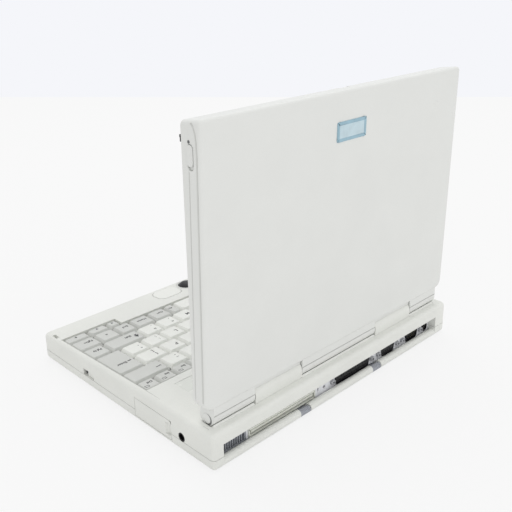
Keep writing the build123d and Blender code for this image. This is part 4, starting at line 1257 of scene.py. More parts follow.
ARROW_TURNS = {"up": 0.0, "left": 90.0, "down": 180.0, "right": 270.0}

ARROW_SIGNS = {
    "<": ArrowSign("left", (3.4, 1.0, 1.5), (4.0, 8.0, 1.0, 0.7)),
    "Enter": ArrowSign("left", (3.0, 4.0, 2.0), (4.0, 7.0, 4.0, 1.0), (7.8, 3.0, 2.7)),
    "Shift": ArrowSign("up", (5.0, 1.6, 2.3), (4.0, 6.0, -0.8, 1.3), (8.2, -3.0, 2.3)),
}


@dataclass
class KeyLegends:
    """Signs of the keys, drawn flat above the caps before they are printed on them."""

    lift: float = 2.0
    font_share: float = 1.42
    boldness: float = 0.08
    letter_in: float = 4.4
    letter_drop: float = 1.2
    letter_size: float = 3.5
    pair_lines: tuple[float, float] = (-4.2, 0.9)
    pair_size: float = 2.9
    word_in: float = 4.0
    word_drop: float = 3.0
    word_rise: float = 0.6
    word_size: float = 2.4
    low_key: float = 15.0
    low_word_in: float = 3.6
    low_word_size: float = 2.2
    low_box: Span = (6.2, 2.8, 1.2, 3.6)
    box_stroke: float = 0.35
    cursor_size: float = 1.35

    def write(self, words: str, size: float, x: float, y: float) -> bpy.types.Object:
        """Write a word as a flat mesh.

        Args:
            words: The word.
            size: Height of its capitals in millimetres, roughly.
            x: Its left end.
            y: Its base line.

        Returns:
            The flat mesh.
        """
        clear_selection()
        bpy.ops.object.text_add()
        text = bpy.context.object
        text.data.body = words
        text.data.size = size * self.font_share * MM
        text.data.offset = self.boldness * MM
        text.data.resolution_u = 3
        text.location = (x * MM, y * MM, self.lift * MM)
        make_active(text)
        bpy.ops.object.convert(target="MESH")
        piece = bpy.context.object
        settle(piece)
        return piece

    def arrow_head(self, way: str, x: float, y: float, radius: float) -> bpy.types.Object:
        """Draw an arrow head as a flat mesh.

        Args:
            way: up, down, left or right.
            x: Its middle along X.
            y: Its middle along Y.
            radius: Its size in millimetres.

        Returns:
            The flat mesh.
        """
        clear_selection()
        bpy.ops.mesh.primitive_circle_add(
            vertices=3, radius=radius * MM, fill_type="NGON",
            location=(x * MM, y * MM, self.lift * MM),
            rotation=(0.0, 0.0, math.radians(ARROW_TURNS[way])))
        piece = bpy.context.object
        settle(piece)
        return piece

    def bar(self, x0: float, x1: float, y: float, thick: float) -> bpy.types.Object:
        """Draw a straight stroke as a flat mesh, from one X to another.

        Args:
            x0: Its left end.
            x1: Its right end.
            y: Its middle line.
            thick: Its thickness.

        Returns:
            The flat mesh.
        """
        clear_selection()
        middle = ((x0 + x1) / 2 * MM, y * MM, self.lift * MM)
        bpy.ops.mesh.primitive_plane_add(size=1.0, location=middle)
        piece = bpy.context.object
        piece.scale = ((x1 - x0) * MM, thick * MM, 1.0)
        settle(piece)
        return piece

    def box(self, x0: float, x1: float, y0: float, y1: float) -> bpy.types.Object:
        """Draw a thin rectangular outline as a flat mesh.

        Args:
            x0: Its left side.
            x1: Its right side.
            y0: Its lower side.
            y1: Its upper side.

        Returns:
            The flat mesh.
        """
        outline = self.bar(x0, x1, (y0 + y1) / 2, y1 - y0)
        with editing(outline):
            pick_all()
            inset(self.box_stroke)
            bpy.ops.mesh.delete(type="FACE")
        return outline

    def arrow(self, sign: ArrowSign, word: str, x0: float, y: float) -> list[bpy.types.Object]:
        """Draw an arrow with its shaft, and its word if it has one.

        Args:
            sign: The sign's sizes.
            word: The key's legend.
            x0: The key's left edge.
            y: The key's middle line.

        Returns:
            The flat meshes.
        """
        x, rise, size = sign.head
        start, end, line, thick = sign.shaft
        parts = [self.arrow_head(sign.way, x0 + x, y + rise, size),
                 self.bar(x0 + start, x0 + end, y + line, thick)]
        if sign.word:
            x, rise, size = sign.word
            parts.append(self.write(word, size, x0 + x, y + rise))
        return parts

    def parts(self, spot: KeySpot) -> list[bpy.types.Object]:
        """Make the flat signs of one key.

        Args:
            spot: The key.

        Returns:
            The flat meshes, none for a bare key.
        """
        x0, x1, y0, y1 = spot.span
        x, y = (x0 + x1) / 2, (y0 + y1) / 2
        if not spot.legend:
            return []
        if spot.legend in ARROW_TURNS:
            return [self.arrow_head(spot.legend, x, y - self.letter_drop, self.cursor_size)]
        if spot.legend in ARROW_SIGNS:
            return self.arrow(ARROW_SIGNS[spot.legend], spot.legend, x0, y)
        word_line = y - self.word_drop + self.word_rise
        if y1 - y0 < self.low_key:
            left, right, low, high = self.low_box
            box = self.box(x1 - left, x1 - right, y + low, y + high)
            x = x0 + self.low_word_in
            return [self.write(spot.legend, self.low_word_size, x, word_line), box]
        if spot.tone is Tone.GREY:
            return [self.write(spot.legend, self.word_size, x0 + self.word_in, word_line)]
        x -= self.letter_in
        if spot.upper:
            pairs = zip((spot.legend, spot.upper), self.pair_lines)
            return [self.write(sign, self.pair_size, x, y + line) for sign, line in pairs]
        return [self.write(spot.legend, self.letter_size, x, y - self.letter_drop)]


@dataclass
class Keyboard:
    """Dished key caps, one row or key to a body, with printed legends."""

    shelf: FinishShelf
    well_x: float = 127.2
    deck_front: tuple[float, float] = (-103.4, 22.3)
    deck_rear: tuple[float, float] = (31.0, 26.8)
    row_rear: float = 30.7
    row_first: float = 16.5
    row_front: float = -70.3
    row_count: int = 5
    arrow_front: float = -80.9
    pitch: float = 18.1
    number_edge: float = 94.0
    upper_edge: float = 99.4
    enter_edge: float = 104.0
    lower_edge: float = 77.0
    page_edge: float = 109.0
    left_edges: tuple[float, ...] = (-109.0, -91.0, -73.0, -55.0)
    right_edges: tuple[float, ...] = (26.7, 36.9, 54.4, 72.5, 88.0)
    arrow_edges: tuple[float, float, float] = (77.3, 88.0, 106.0)
    gap: float = 0.35
    crown_depth: float = 0.5
    skirt_depth: float = 3.4
    side_draft: float = 1.7
    front_draft: float = 1.5
    corner: float = 1.1
    crown_edge: float = 0.5
    dish: float = 0.3
    dish_rings: tuple[tuple[float, float], ...] = (
        (0.8, 0.12), (2.2, 0.45), (3.6, 0.3), (5.2, 0.13))
    dish_floor: float = 1.5
    wall: float = 1.0
    wall_foot: float = 2.2
    recess: float = 1.4
    stem: float = 4.0
    stem_depth: float = 7.0
    stem_reach: float = 25.0
    stem_inside: float = 2.0
    stem_edge: float = 0.3
    long_key: float = 60.0
    ink_gap: float = 0.02
    ink_depth: float = 0.05
    ink_share: float = -0.4
    legends: KeyLegends = field(default_factory=KeyLegends)
    models: dict[tuple[float, float], bpy.types.Object] = field(default_factory=dict)

    def deck(self) -> Matrix:
        """Turn and lift from the flat plane to the sloping deck, in metres.

        Returns:
            The placing matrix.
        """
        (y0, z0), (y1, z1) = self.deck_front, self.deck_rear
        slope = math.atan2(z1 - z0, y1 - y0)
        lift = z0 - y0 * math.tan(slope)
        return Matrix.Translation((0.0, 0.0, lift * MM)) @ Matrix.Rotation(slope, 4, "X")

    def row_lines(self) -> list[float]:
        """Dividing lines between the rows, from the rear."""
        step = (self.row_first - self.row_front) / self.row_count
        return [self.row_rear] + [self.row_first - i * step for i in range(self.row_count + 1)]

    def even(self, last: float, count: int) -> list[float]:
        """Dividing lines of a number of keys of one pitch, up to a last line."""
        return [last - i * self.pitch for i in range(count, -1, -1)]

    def side_by_side(self, edges: Sequence[float], rows: tuple[float, float],
                     legends: Sequence[str], grey: Sequence[int] = ()) -> list[KeySpot]:
        """Lay keys between a row's dividing lines.

        Args:
            edges: The dividing lines along X.
            rows: Front and rear line of the row.
            legends: One legend for each key, with its second sign after a space.
            grey: Places of the grey keys in the row, from its left or, if negative, its right.

        Returns:
            The keys of the row.
        """
        spots = []
        for index, (x0, x1) in enumerate(zip(edges[:-1], edges[1:])):
            main, _, upper = legends[index].partition(" ")
            is_grey = index in grey or index - len(legends) in grey
            tone = Tone.GREY if is_grey else Tone.LIGHT
            spots.append(KeySpot((x0, x1, *rows), tone, main, upper))
        return spots

    def rows(self) -> dict[str, list[KeySpot]]:
        """Every key, by the name of its row or key body.

        Returns:
            The keys of each row or single key, from the rear.
        """
        lines = self.row_lines()
        rear, number, upper, home, lower, bottom = zip(lines[1:], lines[:-1])
        w = self.well_x
        names = ["Esc"] + [f"F{i}" for i in range(1, 13)] + ["Prt", "Scr", "Ins", "Del"]
        count = len(names)
        edges = [-w + i * 2 * w / count for i in range(count + 1)]
        rows = {"function": self.side_by_side(edges, rear, names, range(count))}
        signs = ["` ~", "1 !", "2 @", "3 #", "4 $", "5 %", "6 ^", "7 &", "8 *", "9 (", "0 )",
                 "- _", "<"]
        edges = [-w, *self.even(self.number_edge, 11), w]
        rows["number"] = self.side_by_side(edges, number, signs, (-1,))
        edges = [-w, *self.even(self.upper_edge, 11)[:-1], self.enter_edge]
        signs = ["Tab", *"QWERTYUIO", "P", "[ {"]
        rows["upper"] = self.side_by_side(edges, upper, signs, (0,))
        edges = [-w, *self.even(self.enter_edge, 11)]
        signs = ["Caps", *"ASDFGHJKL", "; :", "' \""]
        rows["home"] = self.side_by_side(edges, home, signs, (0,))
        rows["enter"] = [KeySpot((self.enter_edge, w, home[0], upper[1]), Tone.GREY, "Enter")]
        edges = [-w, *self.even(self.lower_edge, 9), self.page_edge, w]
        signs = ["Shift", *"ZXCVBNM", ", <", ". >", "Shift", "PgUp"]
        rows["lower"] = self.side_by_side(edges, lower, signs, (0, -1, -2))
        groups = (([-w, *self.left_edges], ["Ctrl", "Fn", "Alt", "\\ |"]),
                  (self.right_edges, ["Alt", "Ctrl", "Home", "End"]),
                  ([self.arrow_edges[2], w], ["PgDn"]))
        rows["bottom"] = [spot for edges, signs in groups
                          for spot in self.side_by_side(edges, bottom, signs, range(len(signs)))]
        rows["space"] = [KeySpot((self.left_edges[-1], self.right_edges[0], *bottom), Tone.LIGHT)]
        x0, x1, x2 = self.arrow_edges
        front = (self.arrow_front, bottom[0])
        for way, span in (("up", (x1, x2, *bottom)), ("left", (x0, x1, *front)),
                          ("down", (x1, x2, *front)), ("right", (x2, w, *front))):
            rows[f"arrow_{way}"] = [KeySpot(span, Tone.GREY, way)]
        return rows

    def shape_sides(self, cap: bpy.types.Object, width: float, depth: float) -> None:
        """Draw a cap's sides in towards its crown and round its corners and its rim.

        Args:
            cap: The cap, in edit mode.
            width: Its foot along X in millimetres.
            depth: Its foot along Y in millimetres.
        """
        top = -self.crown_depth
        pick_faces(cap, facing(UP))
        squeeze((1 - 2 * self.side_draft / width, 1 - 2 * self.front_draft / depth, 1.0),
                (0.0, 0.0, top))
        pick_edges(cap, along(UP, LEANING))
        bevel(self.corner, 4)
        pick_edges(cap, lying_at({Z_AXIS: top}))
        bevel(self.crown_edge, 3)

    def dish_top(self, cap: bpy.types.Object, width: float, depth: float) -> None:
        """Sink a shallow dish into a cap's crown, ring by ring.

        Args:
            cap: The cap, in edit mode.
            width: Its crown along X in millimetres.
            depth: Its crown along Y in millimetres.
        """
        top = -self.crown_depth
        pick_faces(cap, lambda face: facing(UP)(face)
                   and face.calc_center_median().z > (top - TOUCH) * MM)
        outer = (width - 2 * self.crown_edge, depth - 2 * self.crown_edge)
        for margin, drop in self.dish_rings:
            if 2 * margin > min(width, depth) - self.dish_floor:
                break
            inner = (width - 2 * margin, depth - 2 * margin)
            shrink = (inner[0] / outer[0], inner[1] / outer[1])
            step_in(shrink, (0.0, 0.0, top), -drop * self.dish)
            outer = inner

    def hollow_foot(self, cap: bpy.types.Object, width: float, depth: float) -> None:
        """Leave a wall around a cap's foot and stand a short key's stem in its hollow.

        Args:
            cap: The cap, in edit mode.
            width: Its foot along X in millimetres.
            depth: Its foot along Y in millimetres.
        """
        foot = (0.0, 0.0, -self.skirt_depth)
        pick_faces(cap, facing(DOWN))
        wall_w, wall_d = width - 2 * self.wall, depth - 2 * self.wall
        room_w, room_d = width - 2 * self.wall_foot, depth - 2 * self.wall_foot
        step_in((wall_w / width, wall_d / depth), foot, 0.0)
        step_in((room_w / wall_w, room_d / wall_d), foot, self.recess)
        if width < self.long_key:
            step_in((self.stem / room_w, self.stem / room_d), foot, 0.0)
            step_in((1.0, 1.0), foot, -self.stem_depth + self.skirt_depth - self.recess)

    def model_cap(self, width: float, depth: float) -> bpy.types.Object:
        """Model one cap about the origin, once for each size.

        Args:
            width: Its foot along X in millimetres.
            depth: Its foot along Y in millimetres.

        Returns:
            The model, with the deck plane at zero height.
        """
        key = (round(width, 2), round(depth, 2))
        if key in self.models:
            return self.models[key]
        cap = start_block(f"cap_model_{len(self.models)}",
                          (-width / 2, -depth / 2, -self.skirt_depth),
                          (width / 2, depth / 2, -self.crown_depth))
        with editing(cap):
            self.shape_sides(cap, width, depth)
            self.dish_top(cap, width - 2 * self.side_draft, depth - 2 * self.front_draft)
            self.hollow_foot(cap, width, depth)
        if width >= self.long_key:
            stems = [self.model_stem(x) for x in (-self.stem_reach, self.stem_reach)]
            cap = join_pieces([cap, *stems], cap.name)
        smooth(cap, 38.0)
        self.models[key] = cap
        return cap

    def model_stem(self, x: float) -> bpy.types.Object:
        """Model one of a long key's two guide stems.

        Args:
            x: The stem's middle along X in millimetres.

        Returns:
            The stem, from inside the cap down to the plate.
        """
        half = self.stem / 2
        stem = start_block("cap_stem", (x - half, -half, -self.stem_depth),
                           (x + half, half, -self.skirt_depth + self.stem_inside))
        round_rim(stem, DOWN, self.stem_edge, 2)
        return stem

    def place_caps(self, name: str, spots: Sequence[KeySpot]) -> dict[Tone, bpy.types.Object]:
        """Place the caps of one body, one piece for each colour group.

        Args:
            name: The row's or key's name.
            spots: Its keys.

        Returns:
            The pieces by their colour group.
        """
        pieces = {}
        for tone in Tone:
            caps = []
            for index, spot in enumerate(spots):
                if spot.tone is not tone:
                    continue
                x0, x1, y0, y1 = spot.span
                model = self.model_cap(x1 - x0 - 2 * self.gap, y1 - y0 - 2 * self.gap)
                middle = Matrix.Translation(((x0 + x1) / 2 * MM, (y0 + y1) / 2 * MM, 0.0))
                caps.append(copy_piece(model, f"cap_{name}_{index}", self.deck() @ middle))
            if caps:
                piece = join_pieces(caps, f"caps_{name}_{tone.name.lower()}")
                cover = self.shelf.take(tone.value)
                dress(piece, f"key_{name}", tone.value, cover, f"keys_{name}")
                pieces[tone] = piece
        return pieces

    def print_legends(self, name: str, spots: Sequence[KeySpot],
                      caps: dict[Tone, bpy.types.Object]) -> None:
        """Print the legends of one body onto its caps.

        Args:
            name: The row's or key's name.
            spots: Its keys.
            caps: Its cap pieces by their colour group.
        """
        for tone, cap in caps.items():
            marked = [spot for spot in spots if spot.tone is tone]
            parts = [part for spot in marked for part in self.legends.parts(spot)]
            if not parts:
                continue
            piece = join_pieces(parts, f"legends_{name}_{tone.name.lower()}")
            piece.data.transform(self.deck())
            add_modifier(piece, "SHRINKWRAP", target=cap, wrap_method="PROJECT",
                         use_project_z=True, use_negative_direction=True,
                         use_positive_direction=False, offset=self.ink_gap * MM)
            add_modifier(piece, "SOLIDIFY", thickness=self.ink_depth * MM, offset=self.ink_share)
            dress(piece, f"key_{name}", "dark_plastic", self.shelf.tone("legend_ink"))

    def build(self) -> None:
        """Make every cap and legend."""
        for name, spots in self.rows().items():
            caps = self.place_caps(name, spots)
            self.print_legends(name, spots, caps)
        for model in self.models.values():
            discard(model)
        self.models.clear()
        LOG.info("keyboard is in place")


# Lid


@dataclass
class LidDetails:
    """Badge, latch signs, lines, latch sliders, barrel ends and hump seals of the lid."""

    shelf: FinishShelf
    lean: float = 0.0241
    back_at: tuple[float, float] = (97.8, 55.0)
    side_x: float = 130.3
    badge_middle: tuple[float, float] = (-0.6, 197.6)
    badge_size: tuple[float, float] = (30.0, 13.4)
    badge_sunk: float = 0.4
    badge_proud: float = 0.5
    badge_rim: float = 1.9
    panel_margin: float = 2.3
    panel_sunk: float = 0.2
    panel_drop: float = 0.04
    sign_at: tuple[float, float] = (93.4, 211.2)
    dot_at: tuple[float, float] = (-0.8, 0.3)
    dot_size: tuple[float, float] = (1.0, 0.2)
    bow_drop: float = 2.6
    bow_size: tuple[float, float] = (1.5, 0.3)
    bow_cut: float = 2.0
    bow_flatness: float = 0.3
    joint_at: tuple[float, float] = (88.2, 48.0)
    joint_lean: float = 0.02585
    joint_ends: tuple[float, float] = (47.5, 194.6)
    joint_half: float = 0.4
    # Set-back from the back face, by height, of the band of painted shade on the rounded back edge
    corner_shade_drops: tuple[tuple[float, float], ...] = (
        (47.5, 2.4), (205.0, 2.4), (212.0, 2.8), (217.0, 3.7), (220.4, 5.2), (222.2, 7.0))
    corner_shade_half: float = 0.65
    step_shade_at: tuple[float, float] = (96.7, 35.1)
    step_shade_half: float = 0.42
    liner: Box = ((127.8, 90.95, 195.15), (129.3, 96.05, 210.25))
    liner_corner: float = 2.5
    slider: Box = ((129.45, 91.2, 197.6), (131.1, 95.8, 210.0))
    slider_corner: float = 2.25
    ring_at: Point = (123.5, 90.6, 31.0)
    ring_size: tuple[float, float] = (3.9, 0.3)
    cap_at: Point = (123.55, 90.1, 31.5)
    cap_size: tuple[float, float] = (3.4, 0.6)
    seal_spans: tuple[tuple[float, float], ...] = ((-86.8, -42.2), (42.2, 86.8))
    seal_y: tuple[float, float] = (92.5, 95.3)
    seal_z: tuple[float, float] = (38.0, 40.75)
    seal_slope: float = 2.0

    def back_y(self, z: float) -> float:
        """Y of the leaning back face at a height."""
        return self.back_at[0] + (z - self.back_at[1]) * self.lean

    def upright(self, x: float, z: float) -> Matrix:
        """Place from the flat plane to the lid's back face, with the plate's face outwards.

        Args:
            x: The place along X in millimetres.
            z: The height in millimetres.

        Returns:
            The placing matrix.
        """
        turn = Matrix.Rotation(math.pi, 4, "Z") @ Matrix.Rotation(QUARTER, 4, "X")
        tilt = Matrix.Rotation(-math.atan(self.lean), 4, "X")
        return Matrix.Translation((x * MM, self.back_y(z) * MM, z * MM)) @ tilt @ turn

    def make_badge(self) -> None:
        """Bare plate with a raised rim and a paler panel."""
        half_w, half_h = self.badge_size[0] / 2, self.badge_size[1] / 2
        top = self.badge_proud
        plate = start_block("badge_plate", (-half_w, -half_h, -self.badge_sunk),
                            (half_w, half_h, top))
        round_edges(plate, along(UP), 1.0, 4)
        round_edges(plate, lying_at({Z_AXIS: top}), 0.15, 2)
        with editing(plate):
            pick_faces(plate, facing(UP))
            inset(self.badge_rim)
            inset(0.15, -0.12)
        smooth(plate, 30.0)
        half_w, half_h = half_w - self.panel_margin, half_h - self.panel_margin
        top -= self.panel_drop
        panel = start_block("badge_panel", (-half_w, -half_h, -self.panel_sunk),
                            (half_w, half_h, top))
        round_edges(panel, along(UP), 0.4, 3)
        round_edges(panel, lying_at({Z_AXIS: top}), 0.05, 2)
        smooth(panel, 30.0)
        for piece in (plate, panel):
            piece.data.transform(self.upright(*self.badge_middle))
        dress(plate, "lid", "badge_blue", self.shelf.take("badge_blue"), "lid_badge")
        dress(panel, "lid", "badge_blue", self.shelf.tone("badge_panel_blue"))

    def make_signs(self) -> None:
        """Small dot and bow above each latch slider, printed on the lid's side."""
        y, z = self.sign_at
        for side, name in SIDES:
            x = side * self.side_x
            dot = start_rod("latch_dot", (x, y + self.dot_at[0], z + self.dot_at[1]),
                            *self.dot_size, ACROSS, 16)
            with editing(dot):
                pick_faces(dot, lambda face: abs(face.normal.x) > SQUARE_ON)
                inset(0.15, 0.02)
            clear_selection()
            bpy.ops.mesh.primitive_torus_add(
                major_segments=24, minor_segments=8, major_radius=self.bow_size[0] * MM,
                minor_radius=self.bow_size[1] * MM, rotation=ACROSS,
                location=(x * MM, y * MM, (z - self.bow_drop) * MM))
            bow = bpy.context.object
            settle(bow)
            with editing(bow):
                pick_all()
                bpy.ops.mesh.bisect(plane_co=(0.0, y * MM, (z - self.bow_cut) * MM), plane_no=UP,
                                    clear_inner=True, use_fill=True)
                pick_all()
                squeeze((self.bow_flatness, 1.0, 1.0), (x, y, z))
            piece = join_pieces([dot, bow], f"latch_sign_{name}")
            smooth(piece)
            dress(piece, "lid", "grey_plastic", self.shelf.tone("sign_ink"))

    def joint_y(self, z: float) -> float:
        """Y of the joint between bezel and back shell at a height."""
        return self.joint_at[0] + (z - self.joint_at[1]) * self.joint_lean

    def make_lines(self) -> None:
        """Joint line on each side, a band of painted shade along each side's rounded back edge,
        and a line of painted shade along the step above the barrels.
        """
        for side, name in SIDES:
            x = side * self.side_x
            path = [(x, self.joint_y(z), z) for z in self.joint_ends]
            joint = start_ribbon(f"lid_joint_{name}", path, self.joint_half, X_AXIS)
            dress(joint, "lid", "shell_lid", self.shelf.tone("lid_joint_and_shade_line"))
            # Painted shade: a darker band where the back's rounded edge turns from the light,
            # widening towards the top corner
            path = [(x, self.back_y(z) - drop, z) for z, drop in self.corner_shade_drops]
            corner_shade_band = start_ribbon(f"lid_corner_shade_{name}", path, self.corner_shade_half, X_AXIS)
            dress(corner_shade_band, "lid", "shell_lid", self.shelf.tone("lid_joint_and_shade_line"))
        # Painted shade: a dark line along the step above each barrel
        steps = [start_ribbon("step", [(x, *self.step_shade_at) for x in ends], self.step_shade_half, Y_AXIS)
                 for ends in BARRELS]
        piece = join_pieces(steps, "lid_step_shade")
        dress(piece, "lid", "shell_lid", self.shelf.tone("lid_step_shade_tone"))

    def model_slide(self, name: str, box: Box, corner: float, side: int) -> bpy.types.Object:
        """Model a rounded upright slide with a thumb dish.

        Args:
            name: The piece's name.
            box: Its lowest and highest corner on the right side.
            corner: Radius of its corners in millimetres.
            side: 1 for the right side, -1 for the left.

        Returns:
            The slide.
        """
        piece = start_block(name, *box)
        round_edges(piece, along(RIGHT), corner, 8)
        round_rim(piece, RIGHT, 0.3, 3)
        with editing(piece):
            pick_faces(piece, facing(RIGHT, SQUARE_FACE))
            inset(0.5, -0.12)
        smooth(piece, 40.0)
        if side < 0:
            piece.scale = (-1.0, 1.0, 1.0)
            settle(piece)
            with editing(piece):
                pick_all()
                bpy.ops.mesh.normals_make_consistent(inside=False)
        return piece

    def make_latches(self) -> None:
        """Latch sliders with a thumb dish, over a liner that makes their slots shallow."""
        shell = self.shelf.take("shell_lid")
        for side, name in SIDES:
            liner, slider = (
                self.model_slide(f"latch_{kind}_{name}", box, corner, side)
                for kind, box, corner in (("liner", self.liner, self.liner_corner),
                                          ("slider", self.slider, self.slider_corner)))
            dress(liner, "lid", "shell_lid", shell)
            dress(slider, f"latch_{name}", "shell_lid", shell, f"latch_button_{name}")

    def make_barrel_ends(self) -> None:
        """Round ends of the outer barrels, with a dark ring of painted shade round each that shows
        as a crescent.
        """
        rings, caps = [], []
        for side, _ in SIDES:
            for parts, place, size in ((rings, self.ring_at, self.ring_size),
                                       (caps, self.cap_at, self.cap_size)):
                part = start_rod("barrel_end", (side * place[0], *place[1:]), *size, ACROSS, 32)
                round_rim(part, side * RIGHT, 0.1, 2)
                parts.append(part)
        ring = join_pieces(rings, "barrel_shade_rings")
        cap = join_pieces(caps, "barrel_caps")
        smooth(ring)
        smooth(cap)
        dress(ring, "lid", "dark_plastic", self.shelf.tone("ring_shade"))
        dress(cap, "lid", "shell_lid", self.shelf.take("shell_lid"))

    def make_seals(self) -> None:
        """Strips under the lid's edge that close the crevice above the hinge humps."""
        (y0, y1), (z0, z1) = self.seal_y, self.seal_z
        strips = []
        for x0, x1 in self.seal_spans:
            strip = start_block("seal", (x0, y0, z0), (x1, y1, z1))
            with editing(strip):
                pick_edges(strip, lying_at({Y_AXIS: y0, Z_AXIS: z0}))
                bpy.ops.transform.translate(value=(0.0, 0.0, self.seal_slope * MM))
                pick_edges(strip, lying_at({Y_AXIS: y1, Z_AXIS: z0}))
                bevel(0.3, 2)
            strips.append(strip)
        piece = join_pieces(strips, "hump_seals")
        smooth(piece, 30.0)
        dress(piece, "lid", "shell_lid", self.shelf.take("shell_lid"))

    def build(self) -> None:
        """Make the lid's small pieces."""
        self.make_badge()
        self.make_signs()
        self.make_lines()
        self.make_latches()
        self.make_barrel_ends()
        self.make_seals()
        LOG.info("lid details are in place")


# Rear, side and deck details


@dataclass
class RearPorts:
    """Serial plug, jackscrews, docking connector and hinge sweeps at the rear."""

    shelf: FinishShelf
    plate_y: float = 96.4
    port_z: float = 9.7
    face_y: float = 97.5
    serial_x: float = -91.0
    serial_size: tuple[float, float] = (16.9, 8.3)
    serial_corner: float = 2.0
    serial_slant: float = 10.0
    shroud_y: float = 94.0
    shroud_wall: float = 0.4
    shroud_depth: float = 2.6
    insulator_y: float = 94.6
    insulator_gap: float = 0.45
    insulator_back: float = 1.0
    pin_rows: tuple[tuple[int, float], ...] = ((5, 1.42), (4, -1.42))
    pin_pitch: float = 2.77
    pin_back: float = 0.9
    pin_size: tuple[float, float] = (0.42, 1.6)
    screw_pairs: tuple[tuple[float, float], ...] = ((-14.35, 47.04), (-58.8, 25.0), (-91.0, 25.0))
    screw_out: float = 0.9
    screw_size: tuple[float, float] = (2.3, 3.0)
    screw_rim: float = 0.6
    screw_hollow: float = 2.2
    bore_out: float = 0.6
    bore_size: tuple[float, float] = (1.3, 2.6)
    dock: Span = (28.0, 94.4, 5.3, 11.6)
    dock_body: tuple[float, float] = (-8.0, 0.6)
    dock_rim: float = 1.05
    dock_hollow: float = 3.5
    trough_margin: float = 1.3
    trough_body: tuple[float, float] = (-4.0, -1.2)
    bar_margin: float = 2.4
    bar_body: tuple[float, float] = (-3.0, 0.3)
    bar_rise: tuple[float, float] = (2.3, 4.1)
    hinge_at: tuple[float, float] = (90.0, 33.2)
    sweep_y: tuple[float, float] = (4.3, 7.2)
    sweep_z: tuple[float, float] = (-6.2, -4.7)
    sweep_ridge: float = 5.35
    sweep_top: float = 0.14

    def d_form(self, name: str, grow: float, y0: float, y1: float) -> bpy.types.Object:
        """Make a block with the D-shaped outline of the narrow plug.

        Args:
            name: The block's name.
            grow: Margin that it is grown by in millimetres.
            y0: Its front face along Y.
            y1: Its rear face along Y.

        Returns:
            The block, about the origin along X and Z.
        """
        half_w = self.serial_size[0] / 2 + grow
        half_h = self.serial_size[1] / 2 + grow
        form = start_block(name, (-half_w, y0, -half_h), (half_w, y1, half_h))
        slant = 2 * half_h * math.tan(math.radians(self.serial_slant))
        with editing(form):
            pick_faces(form, facing(DOWN))
            squeeze((1 - slant / half_w, 1.0, 1.0), (0.0, 0.0, 0.0))
        round_edges(form, along(BACK), self.serial_corner + grow, 5)
        return form

    def place_serial(self, piece: bpy.types.Object, degrees: float = 30.0) -> None:
        """Smooth a part of the serial plug and move it from the origin to its place."""
        smooth(piece, degrees)
        piece.data.transform(Matrix.Translation((self.serial_x * MM, 0.0, self.port_z * MM)))

    def make_serial(self) -> None:
        """Plug with a thin shroud, a black insulator and standing pins."""
        shroud = self.d_form("serial_shroud", 0.0, self.shroud_y, self.face_y)
        hollow(shroud, BACK, self.shroud_wall, self.shroud_depth)
        self.place_serial(shroud)
        dress(shroud, "base", "steel", self.shelf.tone("plug_shroud"), "serial_port")
        block = self.d_form("serial_insulator", -self.insulator_gap, self.insulator_y,
                            self.face_y - self.insulator_back)
        with editing(block):
            pick_faces(block, facing(BACK))
            inset(0.3, 0.15)
        self.place_serial(block)
        dress(block, "base", "black_plastic", self.shelf.take("black_plastic"))
        pins = []
        for count, z in self.pin_rows:
            for step in range(count):
                x = (step - (count - 1) / 2) * self.pin_pitch
                pin = start_rod("pin", (x, self.face_y - self.pin_back, z), *self.pin_size,
                                (QUARTER, 0.0, 0.0), 12)
                round_rim(pin, BACK, 0.12, 2)
                pins.append(pin)
        piece = join_pieces(pins, "serial_pins")
        self.place_serial(piece, 35.0)
        dress(piece, "base", "steel", self.shelf.tone("pin_gold"))

    def make_screws(self) -> None:
        """Hexagonal jackscrews with a turned rim, and a dark disc of painted shade in each bore.
        """
        screws, bores = [], []
        for x in (middle + half for middle, spacing in self.screw_pairs
                  for half in (-spacing / 2, spacing / 2)):
            screw = start_rod("screw", (x, self.plate_y + self.screw_out, self.port_z),
                              *self.screw_size, REARWARD, 6)
            round_rim(screw, BACK, 0.45, 2)
            hollow(screw, BACK, self.screw_rim, self.screw_hollow, SQUARE_FACE)
            screws.append(screw)
            # Painted shade: a dark disc deep in the screw's hollow
            bore = start_rod("bore", (x, self.plate_y + self.bore_out, self.port_z),
                             *self.bore_size, REARWARD, 16)
            with editing(bore):
                pick_faces(bore, facing(BACK))
                inset(0.3, -0.3)
            bores.append(bore)
        piece = join_pieces(bores, "port_screw_bore_shade")
        smooth(piece, 30.0)
        dress(piece, "base", "steel", self.shelf.tone("bore_shade"))
        piece = join_pieces(screws, "port_jackscrews")
        smooth(piece, 30.0)
        dress(piece, "base", "steel", self.shelf.tone("screw_nickel"), "jackscrews")

    def dock_block(self, name: str, margin: float, body: tuple[float, float],
                   rise: tuple[float, float]) -> bpy.types.Object:
        """Start a block of the docking connector.

        Args:
            name: The block's name.
            margin: How far it stops short of the connector's ends in millimetres.
            body: Its front and rear face, from the connector plate.
            rise: Its lower and upper face.

        Returns:
            The block.
        """
        x0, x1 = self.dock[:2]
        return start_block(name, (x0 + margin, self.plate_y + body[0], rise[0]),
                           (x1 - margin, self.plate_y + body[1], rise[1]))

